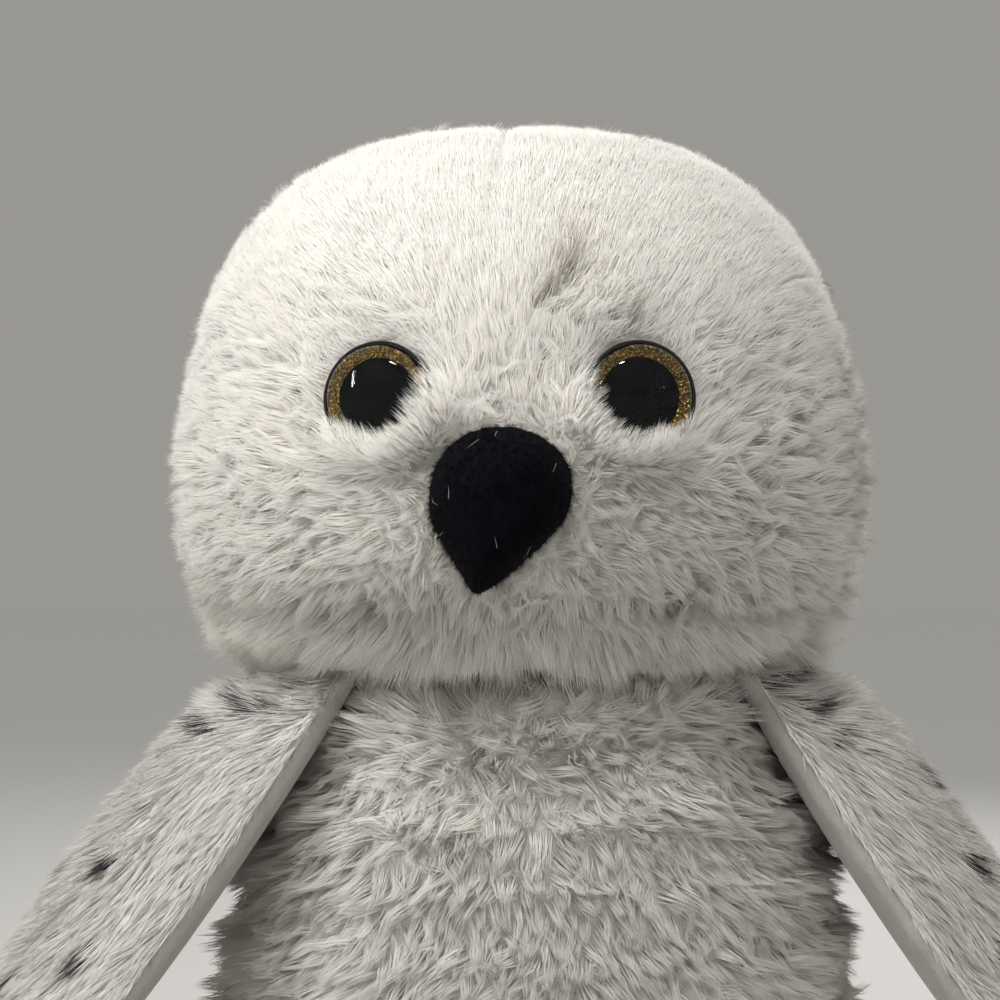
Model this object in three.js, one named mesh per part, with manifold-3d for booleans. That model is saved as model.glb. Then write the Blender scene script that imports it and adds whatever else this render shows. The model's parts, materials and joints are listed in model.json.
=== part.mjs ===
// A sitting plush owl, 300 mm tall, in millimetres, +Z up. It faces -Y, so its own left is +X.
// The origin is on the floor, under the middle of the base. Wings, tail and feet are separate stuffed
// parts, each sewn to the body along one line, and they swing about that line. The head turns on its neck.

import * as THREE from "three";
import { mergeVertices } from "three/addons/utils/BufferGeometryUtils.js";
import Module from "manifold-3d";

const wasm = await Module();
wasm.setup();

// Fits
const CLEARANCE = 0.3; // between pieces that touch
const OVERRUN = 2; // how far a cutter passes the face that it opens

// Cloth thicknesses, the pile included
const HEAD_PILE = 7;
const BODY_PILE = 7;
const WING_PILE = 5.5;
const LINING = 2.2;
const VELOUR = 1.4;
const BASE_CLOTH = 3;

// Body
const BODY_WIDTH = 160;
const BODY_DEPTH = 140;
const BODY_HEIGHT = 171.7;
const BODY_SQUARENESS_SHARE = 2.2;
const BASE_OPENING_WIDTH = 88;
const BASE_OPENING_DEPTH = 74;
const PELLET_BAG_WIDTH = 72;
const PELLET_BAG_DEPTH = 60;
const PELLET_BAG_HEIGHT = 22;

// Neck, a round lobe of the body's filling that plugs into the head's
const NECK_DIAMETER = 68;
const NECK_LOBE_HEIGHT = 12;
const NECK_X = -4;
const NECK_Y = -2;

// Head
const HEAD_WIDTH = 170;
const HEAD_DEPTH = 148;
const HEAD_HEIGHT = 128;
const HEAD_SET_FORWARD = 3; // from the neck's axis to the middle of the head
const HEAD_SQUARENESS_SHARE = 2.25;
const HEAD_YAW_DEG = -2.4; // the head looks a little to its right at rest

// Eyes
const EYE_DIAMETER = 24;
const EYE_SPACING = 56;
const EYE_HEIGHT = 60; // above the bottom of the head
const EYE_SUNK = 3; // of the cup's floor below the pile's tips
const EYE_RIM = 1;
const EYE_RIM_HEIGHT = 2.6;
const EYE_FLANGE = 2;
const IRIS_THICKNESS = 0.6;
const PUPIL_DIAMETER = 16;
const PUPIL_THICKNESS = 0.8;
const LENS_EDGE = 0.8;
const LENS_CROWN = 4.6; // of the dome above its edge
const SHANK_DIAMETER = 5;
const SHANK_LENGTH = 11;
const BACKING = 2; // of cloth between the eye's flange and its washer
const WASHER_DIAMETER = 18;
const WASHER_THICKNESS = 1.4;

// Beak
const BEAK_WIDTH = 29;
const BEAK_LENGTH = 33;
const BEAK_HEIGHT = 37; // of its middle above the bottom of the head
const BEAK_SUNK = 4;
const BEAK_PROUD = 12;
const BEAK_ROLL_DEG = 12; // its tip leans to the owl's right
const BEAK_POINT_SHARE = 0.45; // how sharply its outline narrows to the tip
const BEAK_FULLNESS_SHARE = 0.7; // below 1, its sides stand up before they round over

// Wings
const WING_LENGTH = 140;
const WING_WIDTH = 68;
const WING_ROOT_WIDTH = 48;
const WING_OUTER = 22; // from the plane of the root line to the fur side
const WING_INNER = 6.5; // from that plane to the lining side
const WING_ROOT_RADIUS = 4.5;
const WING_ROOT_HEIGHT = 165.5;
const WING_SEAM = 1; // of the seam from that plane, towards the fur side
const LEFT_WING_AZIMUTH_DEG = 76; // of the way that a wing faces, from straight ahead
const RIGHT_WING_AZIMUTH_DEG = -69;
const LEFT_WING_SPLAY_DEG = 35; // from hanging straight down
const RIGHT_WING_SPLAY_DEG = 38;
const WING_SWING_DEG = [-5, 30]; // how far a wing swings down and up from there

// Tail
const TAIL_LENGTH = 50;
const TAIL_WIDTH = 58;
const TAIL_ROOT_WIDTH = 36;
const TAIL_OUTER = 9;
const TAIL_INNER = 5.5;
const TAIL_ROOT_RADIUS = 4.2;
const TAIL_ROOT_HEIGHT = 46;
const TAIL_SEAM = 0.5;
const TAIL_AZIMUTH_DEG = 180;
const TAIL_SPLAY_DEG = 50;
const TAIL_SWING_DEG = [-8, 30];

// Feet
const FOOT_LENGTH = 46;
const FOOT_WIDTH = 38;
const FOOT_ROOT_WIDTH = 26;
const FOOT_OUTER = 10;
const FOOT_INNER = 5.5;
const FOOT_ROOT_RADIUS = 4.2;
const FOOT_ROOT_HEIGHT = 5;
const FOOT_SEAM = -2;
const FOOT_AZIMUTH_DEG = 22;
const FOOT_SPLAY_DEG = 90;
const FOOT_SWING_DEG = [0, 20];
const TOE_LENGTH = 3.5; // from the valleys between the toes to their tips
const TOE_SWELL_SHARE = 0.14;
const TOES = 3;

// Every limb
const LIMB_SQUARENESS_SHARE = 2;
const ROOT_REACH = 7; // of a limb's cloth behind its root line, where the body cuts it

// Colours and roughness
const WHITE_PILE = 0xf1efe9;
const GREY_LINING = 0xd9d6d0;
const STUFFING = 0xf7f6f2;
const BLACK_VELOUR = 0x0a0c14;
const BLACK_PLASTIC = 0x0b0b0c;
const GOLD_GLITTER = 0xa8801f;
const CLEAR_PLASTIC = 0xdfe3e6;
const WHITE_PLASTIC = 0xe6e6e2;
const PELLET_CLOTH = 0xdedad0;
const CLOTH_ROUGHNESS = 0.9;
const CUP_ROUGHNESS = 0.25;
const IRIS_ROUGHNESS = 0.35;
const PUPIL_ROUGHNESS = 0.15;
const LENS_ROUGHNESS = 0.05;
const WASHER_ROUGHNESS = 0.5;

const PROBE = 4; // half the span over which a surface's slope is read
const SLOPE_STEP_SHARE = 0.004; // half the span, along a table of rows, over which its slope is read

// Mesh counts
const SIDES = 24;
const RINGS = 13;
const LIMB_SIDES = 16;
const WING_RINGS = 10;
const SMALL_LIMB_RINGS = 8;
const ROUND_SIDES = 20;
const BEAK_SIDES = 20;
const SWELL_RINGS = 6;
const HEAD_RIM_RINGS = 5; // the head's lowest rings, which a limb could meet

// Rows up the body: height, half width and half depth, as shares of its height, width and depth
const bodyShares = [
  [0, 0.77, 0.74],
  [0.04, 0.86, 0.84],
  [0.13, 0.95, 0.94],
  [0.26, 0.99, 0.985],
  [0.46, 1, 1],
  [0.64, 0.945, 0.95],
  [0.76, 0.885, 0.895],
  [0.845, 0.83, 0.84],
  [0.92, 0.765, 0.78],
  [0.967, 0.7, 0.73],
  [1, 0.62, 0.64],
];

// Rows up the head, the same way
const headShares = [
  [0, 0.73, 0.73],
  [0.02, 0.81, 0.8],
  [0.065, 0.905, 0.89],
  [0.13, 0.96, 0.95],
  [0.22, 0.99, 0.99],
  [0.33, 1, 1],
  [0.45, 0.987, 0.985],
  [0.57, 0.948, 0.94],
  [0.66, 0.907, 0.895],
  [0.735, 0.857, 0.845],
  [0.805, 0.792, 0.785],
  [0.875, 0.692, 0.69],
  [0.93, 0.575, 0.58],
  [0.97, 0.43, 0.44],
  [0.992, 0.26, 0.27],
  [1, 0.1, 0.1],
];

// Rows up the pellet bag, the same way
const bagShares = [
  [0, 0.7, 0.7],
  [0.2, 0.93, 0.93],
  [0.45, 1, 1],
  [0.75, 0.85, 0.85],
  [0.93, 0.55, 0.55],
  [1, 0.2, 0.2],
];

// Rows down a limb from its root line: way along it, half width, outer and inner half thickness.
// The width goes from the root's to the limb's own, the thickness from the root's radius to its own.
const wingShares = [
  [0, 0, 0, 0],
  [0.1, 0.38, 0.78, 0.4],
  [0.22, 0.68, 0.96, 0.75],
  [0.38, 0.9, 1, 1],
  [0.55, 1, 1, 1],
  [0.73, 0.84, 0.82, 0.8],
  [0.86, 0.42, 0.5, 0.35],
  [0.95, -0.35, 0.05, -0.4],
  [0.99, -1.35, -0.26, -1.3],
];
const tailShares = [
  [0, 0, 0, 0],
  [0.18, 0.4, 0.5, 0.4],
  [0.42, 0.8, 0.95, 1],
  [0.65, 1, 1, 1],
  [0.83, 0.7, 0.6, 0.2],
  [0.94, -0.15, 0, -1],
  [0.99, -1, -0.5, -2],
];
const footShares = [
  [0, 0, 0, 0],
  [0.15, 0.45, 0.45, 0.7],
  [0.35, 0.85, 0.85, 1],
  [0.6, 1, 1, 1],
  [0.8, 0.95, 0.8, 1],
  [0.92, 0.45, 0.3, 0.6],
  [0.99, -0.9, -0.4, -1.5],
];

// Meshes and solids

// Rings of points in order, closed at both ends by a fan, with the faces turned outwards.
function stack(rings) {
  const sides = rings[0].length;
  const middle = (ring) => ring.reduce((sum, p) => sum.add(p), new THREE.Vector3()).divideScalar(sides);
  const points = [...rings.flat(), middle(rings[0]), middle(rings[rings.length - 1])];
  const [first, last] = [points.length - 2, points.length - 1];
  const top = (rings.length - 1) * sides;
  const faces = [];
  for (let k = 0; k < sides; k++) {
    const next = (k + 1) % sides;
    faces.push(first, next, k, last, top + k, top + next);
    for (let r = 0; r < top; r += sides) {
      faces.push(r + k, r + next, r + sides + k, r + next, r + sides + next, r + sides + k);
    }
  }
  const volume = (i) => points[faces[i]].dot(points[faces[i + 1]].clone().cross(points[faces[i + 2]]));
  let sum = 0;
  for (let i = 0; i < faces.length; i += 3) sum += volume(i);
  const geometry = new THREE.BufferGeometry().setFromPoints(points);
  return geometry.setIndex(sum < 0 ? faces.reverse() : faces);
}

function solidOf(geometry) {
  const bare = geometry.clone();
  bare.deleteAttribute("normal");
  bare.deleteAttribute("uv");
  const merged = mergeVertices(bare);
  const vertProperties = merged.attributes.position.array;
  const triVerts = new Uint32Array(merged.index.array);
  return new wasm.Manifold(new wasm.Mesh({ numProp: 3, vertProperties, triVerts }));
}

function geometryOf(solid) {
  const { vertProperties, triVerts } = solid.getMesh();
  const geometry = new THREE.BufferGeometry();
  geometry.setAttribute("position", new THREE.BufferAttribute(vertProperties, 3));
  return geometry.setIndex(new THREE.BufferAttribute(triVerts, 1));
}

const placed = (geometry, matrix) => solidOf(geometry.clone().applyMatrix4(matrix));
const radians = THREE.MathUtils.degToRad;

// One row of a smooth table, at a way u from 0 at its first row to 1 at its last.
function rowAt(rows, u) {
  const times = rows.map((_, k) => k);
  const size = rows[0].length;
  const curve = new THREE.CubicInterpolant(times, rows.flat(), size, new Float64Array(size));
  return [...curve.evaluate(u * (rows.length - 1))];
}

const evenly = (count, make) => Array.from({ length: count }, (_, k) => make(k / (count - 1)));
const power = (value, exponent) => Math.sign(value) * Math.abs(value) ** exponent;

// One closed ring, a rounded box whose half sizes may differ on the four sides.
function roundedRing(sides, squareness, halves, place) {
  return Array.from({ length: sides }, (_, k) => {
    const angle = (k / sides) * Math.PI * 2;
    const a = power(Math.cos(angle), 2 / squareness);
    const b = power(Math.sin(angle), 2 / squareness);
    return place(a * (a > 0 ? halves.right : halves.left), b * (b > 0 ? halves.back : halves.front));
  });
}

// Stuffed forms that stand upright

// Half width, half depth and height up a form, drawn in by a cloth's thickness square to its surface.
function levels(form, inset) {
  const at = (u) => {
    const [h, w, d] = rowAt(form.shares, u);
    return { z: form.bottom + h * form.height, w: (w * form.width) / 2, d: (d * form.depth) / 2 };
  };
  return evenly(RINGS, (u) => {
    const here = at(u);
    const before = at(Math.max(u - SLOPE_STEP_SHARE, 0));
    const after = at(Math.min(u + SLOPE_STEP_SHARE, 1));
    const run = Math.hypot(after.z - before.z, after.w - before.w);
    const [rise, back] = [(after.z - before.z) / run, (before.w - after.w) / run];
    return { z: here.z - back * inset, w: here.w - rise * inset, d: here.d - rise * inset };
  });
}

const ringOf = (form, sides, { z, w, d }) =>
  roundedRing(sides, form.squareness, { right: w, left: w, back: d, front: d }, (x, y) =>
    new THREE.Vector3(form.x + x, form.y + y, z),
  );

const stackOf = (form, all) => stack(all.map((level) => ringOf(form, SIDES, level)));
const formStack = (form, inset = 0) => stackOf(form, levels(form, inset));

// The size of a form at one height.
function levelAt(form, z, inset = 0) {
  const all = levels(form, inset);
  const i = Math.max(all.findIndex((level) => level.z >= z), 1);
  const share = (z - all[i - 1].z) / (all[i].z - all[i - 1].z);
  const mix = (key) => THREE.MathUtils.lerp(all[i - 1][key], all[i][key], share);
  return { z, w: mix("w"), d: mix("d") };
}

// The room inside a form, from a flat floor up to a flat ceiling, or to the crown where there is none.
function roomIn(form, inset, floor, ceiling = Infinity) {
  const inside = levels(form, inset).filter(({ z, w }) => z > floor && z < ceiling && w > inset);
  inside.unshift(levelAt(form, floor, inset));
  if (ceiling < Infinity) inside.push(levelAt(form, ceiling, inset));
  return solidOf(stackOf(form, inside));
}

// The outermost point of a form at one height towards an azimuth from straight ahead.
function rimPoint(form, z, azimuth) {
  const { w, d } = levelAt(form, z);
  const { squareness } = form;
  const across = power(w * Math.sin(azimuth), 1 / (squareness - 1));
  const along = power(-d * Math.cos(azimuth), 1 / (squareness - 1));
  const reach = (Math.abs(across) ** squareness + Math.abs(along) ** squareness) ** (1 / squareness);
  return new THREE.Vector3(form.x + (w * across) / reach, form.y + (d * along) / reach, z);
}

// A place on the front of a form, and the frame there: +Z out of the surface, +Y up along it.
function frontFrame(form, x, z, sunk) {
  const face = (dx, dz) => {
    const { w, d } = levelAt(form, z + dz);
    const y = -d * (1 - Math.abs((x + dx) / w) ** form.squareness) ** (1 / form.squareness);
    return new THREE.Vector3(form.x + x + dx, form.y + y, z + dz);
  };
  const across = face(PROBE, 0).sub(face(-PROBE, 0)).normalize();
  const up = face(0, PROBE).sub(face(0, -PROBE)).normalize();
  const out = across.clone().cross(up).normalize();
  const origin = face(0, 0).addScaledVector(out, -sunk);
  const upright = out.clone().cross(across).normalize();
  return new THREE.Matrix4().makeBasis(across, upright, out).setPosition(origin);
}

// A turned piece from points of radius and height, about its own +Z
const turned = (points, sides = ROUND_SIDES) =>
  new THREE.LatheGeometry(points.map(([r, h]) => new THREE.Vector2(r, h)), sides).rotateX(Math.PI / 2);

const disc = (diameter, bottom, top, sides = ROUND_SIDES) =>
  new THREE.CylinderGeometry(diameter / 2, diameter / 2, top - bottom, sides)
    .rotateX(Math.PI / 2)
    .translate(0, 0, (top + bottom) / 2);

function ovalPlug(width, depth, bottom, top) {
  const halves = { right: width / 2, left: width / 2, back: depth / 2, front: depth / 2 };
  const ring = (z) =>
    roundedRing(SIDES, BODY_SQUARENESS_SHARE, halves, (x, y) => new THREE.Vector3(x, y, z));
  return stack([ring(bottom), ring(top)]);
}

// Limbs: flat stuffed flaps that hang from a root line

// A limb's own frame: its length runs down -Z from the root line along Y, its outer side faces +X.
// The rings are drawn in by the limb's cloths and a gap, and run back behind the root line.
function limbRings(limb, inset) {
  const ring = (along, half, outer, inner) => {
    const halves = { right: outer - inset.outer, left: inner - inset.inner };
    halves.front = halves.back = half - inset.edge;
    return roundedRing(LIMB_SIDES, LIMB_SQUARENESS_SHARE, halves, (x, y) => {
      const toe = Math.cos((2 * Math.PI * limb.toes * y) / limb.width) * (along / limb.length) ** 2;
      const swell = limb.toes ? toe * TOE_SWELL_SHARE : 0;
      return new THREE.Vector3(x * (1 + swell), y, -along - (toe * limb.toeLength) / 2);
    });
  };
  const rows = evenly(limb.rings, (u) => rowAt(limb.shares, u));
  const rings = rows.map(([along, wide, outer, inner]) =>
    ring(
      along * limb.length,
      (limb.rootWidth + wide * (limb.width - limb.rootWidth)) / 2,
      limb.rootRadius + outer * (limb.outer - limb.rootRadius),
      limb.rootRadius + inner * (limb.inner - limb.rootRadius),
    ),
  );
  return [ring(-ROOT_REACH, limb.rootWidth / 2, limb.rootRadius, limb.rootRadius), ...rings];
}

const limbForm = (limb) => stack(limbRings(limb, { outer: 0, inner: 0, edge: 0 }));

// The room for a limb's filling, drawn in from the form by its cloths, and from the room by a gap.
function limbRoom(limb, gap) {
  const cloths = (extra) => ({
    outer: limb.cover + extra,
    inner: limb.lining + extra,
    edge: limb.edge + extra,
  });
  const reach = (ring, axis, way) => Math.max(...ring.map((p) => way * p[axis]));
  const middle = (ring) => -ring.reduce((sum, p) => sum + p.z, 0) / ring.length;
  const room = limbRings(limb, cloths(0));
  const holds = (ring) =>
    middle(ring) > 0 && middle(ring) < limb.length - limb.edge &&
    Math.min(reach(ring, "x", 1), reach(ring, "x", -1), reach(ring, "y", 1)) > limb.lining;
  const kept = limbRings(limb, cloths(gap)).filter((_, k) => holds(room[k]));
  for (const p of kept[0]) p.z -= gap;
  for (const p of kept[kept.length - 1]) p.z += gap;
  return solidOf(stack(kept));
}

// Where a limb hangs: its root line on the body's surface, turned to its azimuth and splayed.
function limbMatrix(limb) {
  const azimuth = radians(limb.azimuth);
  const root = rimPoint(body, limb.rootHeight, azimuth);
  const turn = new THREE.Matrix4().makeRotationZ(azimuth - Math.PI / 2);
  const splay = new THREE.Matrix4().makeRotationY(-radians(limb.splay));
  return new THREE.Matrix4().makeTranslation(root).multiply(turn).multiply(splay);
}

// All that body, turning head and floor take up round a limb while it swings from one end to the
// other, in the limb's frame and grown by a gap. A limb may touch the floor.
function keptClear(limb, gap) {
  const grownBody = formStack(body, -gap);
  const headSweep = levels(head, -gap).slice(0, HEAD_RIM_RINGS).map((level) => {
    const reach = Math.max(...ringOf(head, SIDES, level).map((p) => Math.hypot(p.x, p.y)));
    return [reach / Math.cos(Math.PI / SIDES), level.z];
  });
  const topOfSweep = headSweep[HEAD_RIM_RINGS - 1][1];
  const underHead = turned([[0, headSweep[0][1]], ...headSweep, [0, topOfSweep]], SIDES);
  underHead.translate(NECK_X, NECK_Y, headBottom);
  const floorSize = BODY_WIDTH + BODY_DEPTH;
  const floor = new THREE.BoxGeometry(floorSize, floorSize, floorSize);
  floor.translate(0, 0, gap - CLEARANCE - floorSize / 2);
  const toLimb = limbMatrix(limb).invert();
  const [low, high] = limb.swing;
  const cutters = [low, (low + high) / 2, high].flatMap((angle) => {
    const swung = new THREE.Matrix4().makeRotationY(radians(angle)).multiply(toLimb);
    return [grownBody, underHead, floor].map((geometry) => placed(geometry, swung));
  });
  return cutters.reduce((all, cutter) => all.add(cutter));
}

// Three solids of a limb in its own frame: the outer cloth, the inner cloth and the filling.
function limbSolids(limb) {
  const reach = limb.length + limb.outer + limb.width;
  const half = (from, to) =>
    solidOf(new THREE.BoxGeometry(to - from, reach, reach * 2).translate((from + to) / 2, 0, 0));
  const wall = CLEARANCE + limb.lining;
  const room = limbRoom(limb, 0).subtract(keptClear(limb, wall));
  const cloth = solidOf(limbForm(limb)).subtract(room).subtract(keptClear(limb, CLEARANCE));
  return {
    cover: cloth.intersect(half(limb.seam + CLEARANCE / 2, reach)),
    lining: cloth.intersect(half(-reach, limb.seam - CLEARANCE / 2)),
    filling: limbRoom(limb, CLEARANCE).subtract(keptClear(limb, wall + CLEARANCE)),
  };
}

// The forms

const body = {
  shares: bodyShares, width: BODY_WIDTH, depth: BODY_DEPTH, height: BODY_HEIGHT,
  bottom: 0, x: 0, y: 0, squareness: BODY_SQUARENESS_SHARE,
};
const headBottom = BODY_HEIGHT + CLEARANCE;
// The head's form stands in the head's own frame, whose Z is the neck's axis and whose yaw is nought.
const head = {
  shares: headShares, width: HEAD_WIDTH, depth: HEAD_DEPTH, height: HEAD_HEIGHT,
  bottom: 0, x: 0, y: -HEAD_SET_FORWARD, squareness: HEAD_SQUARENESS_SHARE,
};

const wing = (name, azimuth, splay) => ({
  name, azimuth, splay, cloths: ["cover", "lining"], shares: wingShares,
  length: WING_LENGTH, width: WING_WIDTH, rootWidth: WING_ROOT_WIDTH,
  outer: WING_OUTER, inner: WING_INNER, rootRadius: WING_ROOT_RADIUS, rootHeight: WING_ROOT_HEIGHT,
  swing: WING_SWING_DEG, seam: WING_SEAM, cover: WING_PILE, lining: LINING, edge: WING_PILE,
  colours: [WHITE_PILE, GREY_LINING], toes: 0, toeLength: 0, rings: WING_RINGS,
});
const foot = (name, azimuth) => ({
  name, azimuth, splay: FOOT_SPLAY_DEG, cloths: ["upper", "sole"], shares: footShares,
  length: FOOT_LENGTH, width: FOOT_WIDTH, rootWidth: FOOT_ROOT_WIDTH,
  outer: FOOT_OUTER, inner: FOOT_INNER, rootRadius: FOOT_ROOT_RADIUS, rootHeight: FOOT_ROOT_HEIGHT,
  swing: FOOT_SWING_DEG, seam: FOOT_SEAM, cover: VELOUR, lining: VELOUR, edge: VELOUR,
  colours: [BLACK_VELOUR, BLACK_VELOUR], toes: TOES, toeLength: TOE_LENGTH, rings: SMALL_LIMB_RINGS,
});
const tail = {
  name: "tail", azimuth: TAIL_AZIMUTH_DEG, splay: TAIL_SPLAY_DEG, cloths: ["cover", "lining"],
  shares: tailShares, length: TAIL_LENGTH, width: TAIL_WIDTH, rootWidth: TAIL_ROOT_WIDTH,
  outer: TAIL_OUTER, inner: TAIL_INNER, rootRadius: TAIL_ROOT_RADIUS, rootHeight: TAIL_ROOT_HEIGHT,
  swing: TAIL_SWING_DEG, seam: TAIL_SEAM, cover: WING_PILE, lining: LINING, edge: LINING,
  colours: [WHITE_PILE, GREY_LINING], toes: 0, toeLength: 0, rings: SMALL_LIMB_RINGS,
};
const limbs = [
  wing("left_wing", LEFT_WING_AZIMUTH_DEG, LEFT_WING_SPLAY_DEG),
  wing("right_wing", RIGHT_WING_AZIMUTH_DEG, RIGHT_WING_SPLAY_DEG),
  tail,
  foot("left_foot", FOOT_AZIMUTH_DEG),
  foot("right_foot", -FOOT_AZIMUTH_DEG),
];

// The owl

const owl = new THREE.Group();
const headGroup = new THREE.Group();
headGroup.position.set(NECK_X, NECK_Y, headBottom);
headGroup.rotation.z = radians(HEAD_YAW_DEG);
owl.add(headGroup);

function addMesh(group, name, solid, color, roughness = CLOTH_ROUGHNESS) {
  const material = new THREE.MeshStandardMaterial({ color, roughness, metalness: 0 });
  const mesh = new THREE.Mesh(geometryOf(solid), material);
  mesh.name = name;
  group.add(mesh);
}

// Body: skin, base panel, filling with its neck lobe, and pellet bag
function addBody() {
  const toNeck = new THREE.Matrix4().makeTranslation(NECK_X, NECK_Y, 0);
  const neck = (diameter, from, to) => placed(disc(diameter, from, to), toNeck);
  const basePlug = (gap, from, to) =>
    solidOf(ovalPlug(BASE_OPENING_WIDTH - gap, BASE_OPENING_DEPTH - gap, from, to));
  const floor = BASE_CLOTH + CLEARANCE;
  const ceiling = BODY_HEIGHT - BODY_PILE;

  const skin = solidOf(formStack(body))
    .subtract(roomIn(body, BODY_PILE, floor, ceiling))
    .subtract(basePlug(0, -OVERRUN, floor + OVERRUN))
    .subtract(neck(NECK_DIAMETER, ceiling - OVERRUN, BODY_HEIGHT + OVERRUN));
  addMesh(owl, "body_cover", skin, WHITE_PILE);
  addMesh(owl, "base_panel", basePlug(2 * CLEARANCE, 0, BASE_CLOTH), WHITE_PILE);

  const bag = (gap) =>
    solidOf(
      formStack({
        shares: bagShares, width: PELLET_BAG_WIDTH + 2 * gap, depth: PELLET_BAG_DEPTH + 2 * gap,
        height: PELLET_BAG_HEIGHT + 2 * gap, bottom: floor - gap, x: 0, y: 0,
        squareness: BODY_SQUARENESS_SHARE,
      }),
    );
  addMesh(owl, "pellet_bag", bag(0), PELLET_CLOTH);

  const filling = roomIn(body, BODY_PILE + CLEARANCE, floor + CLEARANCE, ceiling - CLEARANCE)
    .add(neck(NECK_DIAMETER - 2 * CLEARANCE, ceiling - BODY_PILE, BODY_HEIGHT + NECK_LOBE_HEIGHT))
    .subtract(bag(CLEARANCE));
  addMesh(owl, "body_filling", filling, STUFFING);
}

// Eye: a cup with a shank through the skin, held by a washer, with iris, pupil and lens in the cup
function eyePieces() {
  const radius = EYE_DIAMETER / 2;
  const well = radius - EYE_RIM;
  const shank = SHANK_DIAMETER / 2;
  const inside = well - CLEARANCE;
  const chamfer = EYE_RIM / 2;
  const irisTop = CLEARANCE + IRIS_THICKNESS;
  const pupilBottom = irisTop + CLEARANCE;
  const pupilTop = pupilBottom + PUPIL_THICKNESS;
  const lensBottom = pupilTop + CLEARANCE;
  const lensEdge = lensBottom + LENS_EDGE;
  const dome = evenly(SWELL_RINGS, (u) => {
    const angle = (u * Math.PI) / 2;
    return [u < 1 ? inside * Math.cos(angle) : 0, lensEdge + LENS_CROWN * Math.sin(angle)];
  });
  const washerTop = -EYE_FLANGE - BACKING - 2 * CLEARANCE;
  const washerBottom = washerTop - WASHER_THICKNESS;
  const washerHole = shank + CLEARANCE;
  const plate = (r, bottom, top) => turned([[0, bottom], [r, bottom], [r, top], [0, top]]);
  return {
    cup: [
      turned([
        [0, -EYE_FLANGE - SHANK_LENGTH], [shank, -EYE_FLANGE - SHANK_LENGTH], [shank, -EYE_FLANGE],
        [radius - chamfer, -EYE_FLANGE], [radius, chamfer - EYE_FLANGE], [radius, EYE_RIM_HEIGHT - chamfer],
        [radius - chamfer, EYE_RIM_HEIGHT], [well, EYE_RIM_HEIGHT], [well, 0], [0, 0],
      ]),
      BLACK_PLASTIC, CUP_ROUGHNESS,
    ],
    iris: [plate(inside, CLEARANCE, irisTop), GOLD_GLITTER, IRIS_ROUGHNESS],
    pupil: [plate(PUPIL_DIAMETER / 2, pupilBottom, pupilTop), BLACK_PLASTIC, PUPIL_ROUGHNESS],
    lens: [turned([[0, lensBottom], [inside, lensBottom], ...dome]), CLEAR_PLASTIC, LENS_ROUGHNESS],
    washer: [
      turned([
        [washerHole, washerBottom], [WASHER_DIAMETER / 2, washerBottom],
        [WASHER_DIAMETER / 2, washerTop], [washerHole, washerTop], [washerHole, washerBottom],
      ]),
      WHITE_PLASTIC, WASHER_ROUGHNESS,
    ],
  };
}

// What an eye needs cut out of the skin, and out of the filling behind it
function eyeCuts() {
  const pocket = disc(EYE_DIAMETER + 2 * CLEARANCE, -EYE_FLANGE - CLEARANCE, HEAD_PILE + EYE_DIAMETER);
  const shankEnd = -EYE_FLANGE - SHANK_LENGTH - CLEARANCE;
  const hole = disc(SHANK_DIAMETER + 2 * CLEARANCE, shankEnd, 0);
  const seatTop = -EYE_FLANGE - BACKING - CLEARANCE;
  const seatBottom = seatTop - WASHER_THICKNESS - 2 * CLEARANCE;
  const seat = disc(WASHER_DIAMETER + 2 * CLEARANCE, seatBottom, seatTop);
  return { skin: [pocket, hole, seat], filling: [hole, seat] };
}

// Beak: a pointed drop whose outline swells outwards, about its own +Z, its tip towards -Y
function beakRings(inset) {
  const angles = Array.from({ length: BEAK_SIDES }, (_, k) => (k / BEAK_SIDES) * Math.PI * 2);
  const across = angles.map((angle) => Math.sin(angle) * Math.sin(angle / 2) ** BEAK_POINT_SHARE);
  const widest = Math.max(...across);
  const outline = (share, z) =>
    angles.map((angle, k) => {
      const x = ((BEAK_WIDTH / 2 - inset) * across[k]) / widest;
      return new THREE.Vector3(x * share, -(BEAK_LENGTH / 2 - inset) * Math.cos(angle) * share, z);
    });
  const height = BEAK_SUNK + BEAK_PROUD - inset;
  return evenly(SWELL_RINGS, (u) => {
    const angle = (u * Math.PI * (SWELL_RINGS - 1)) / SWELL_RINGS / 2;
    return outline(Math.cos(angle) ** BEAK_FULLNESS_SHARE, height * Math.sin(angle));
  });
}

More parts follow.
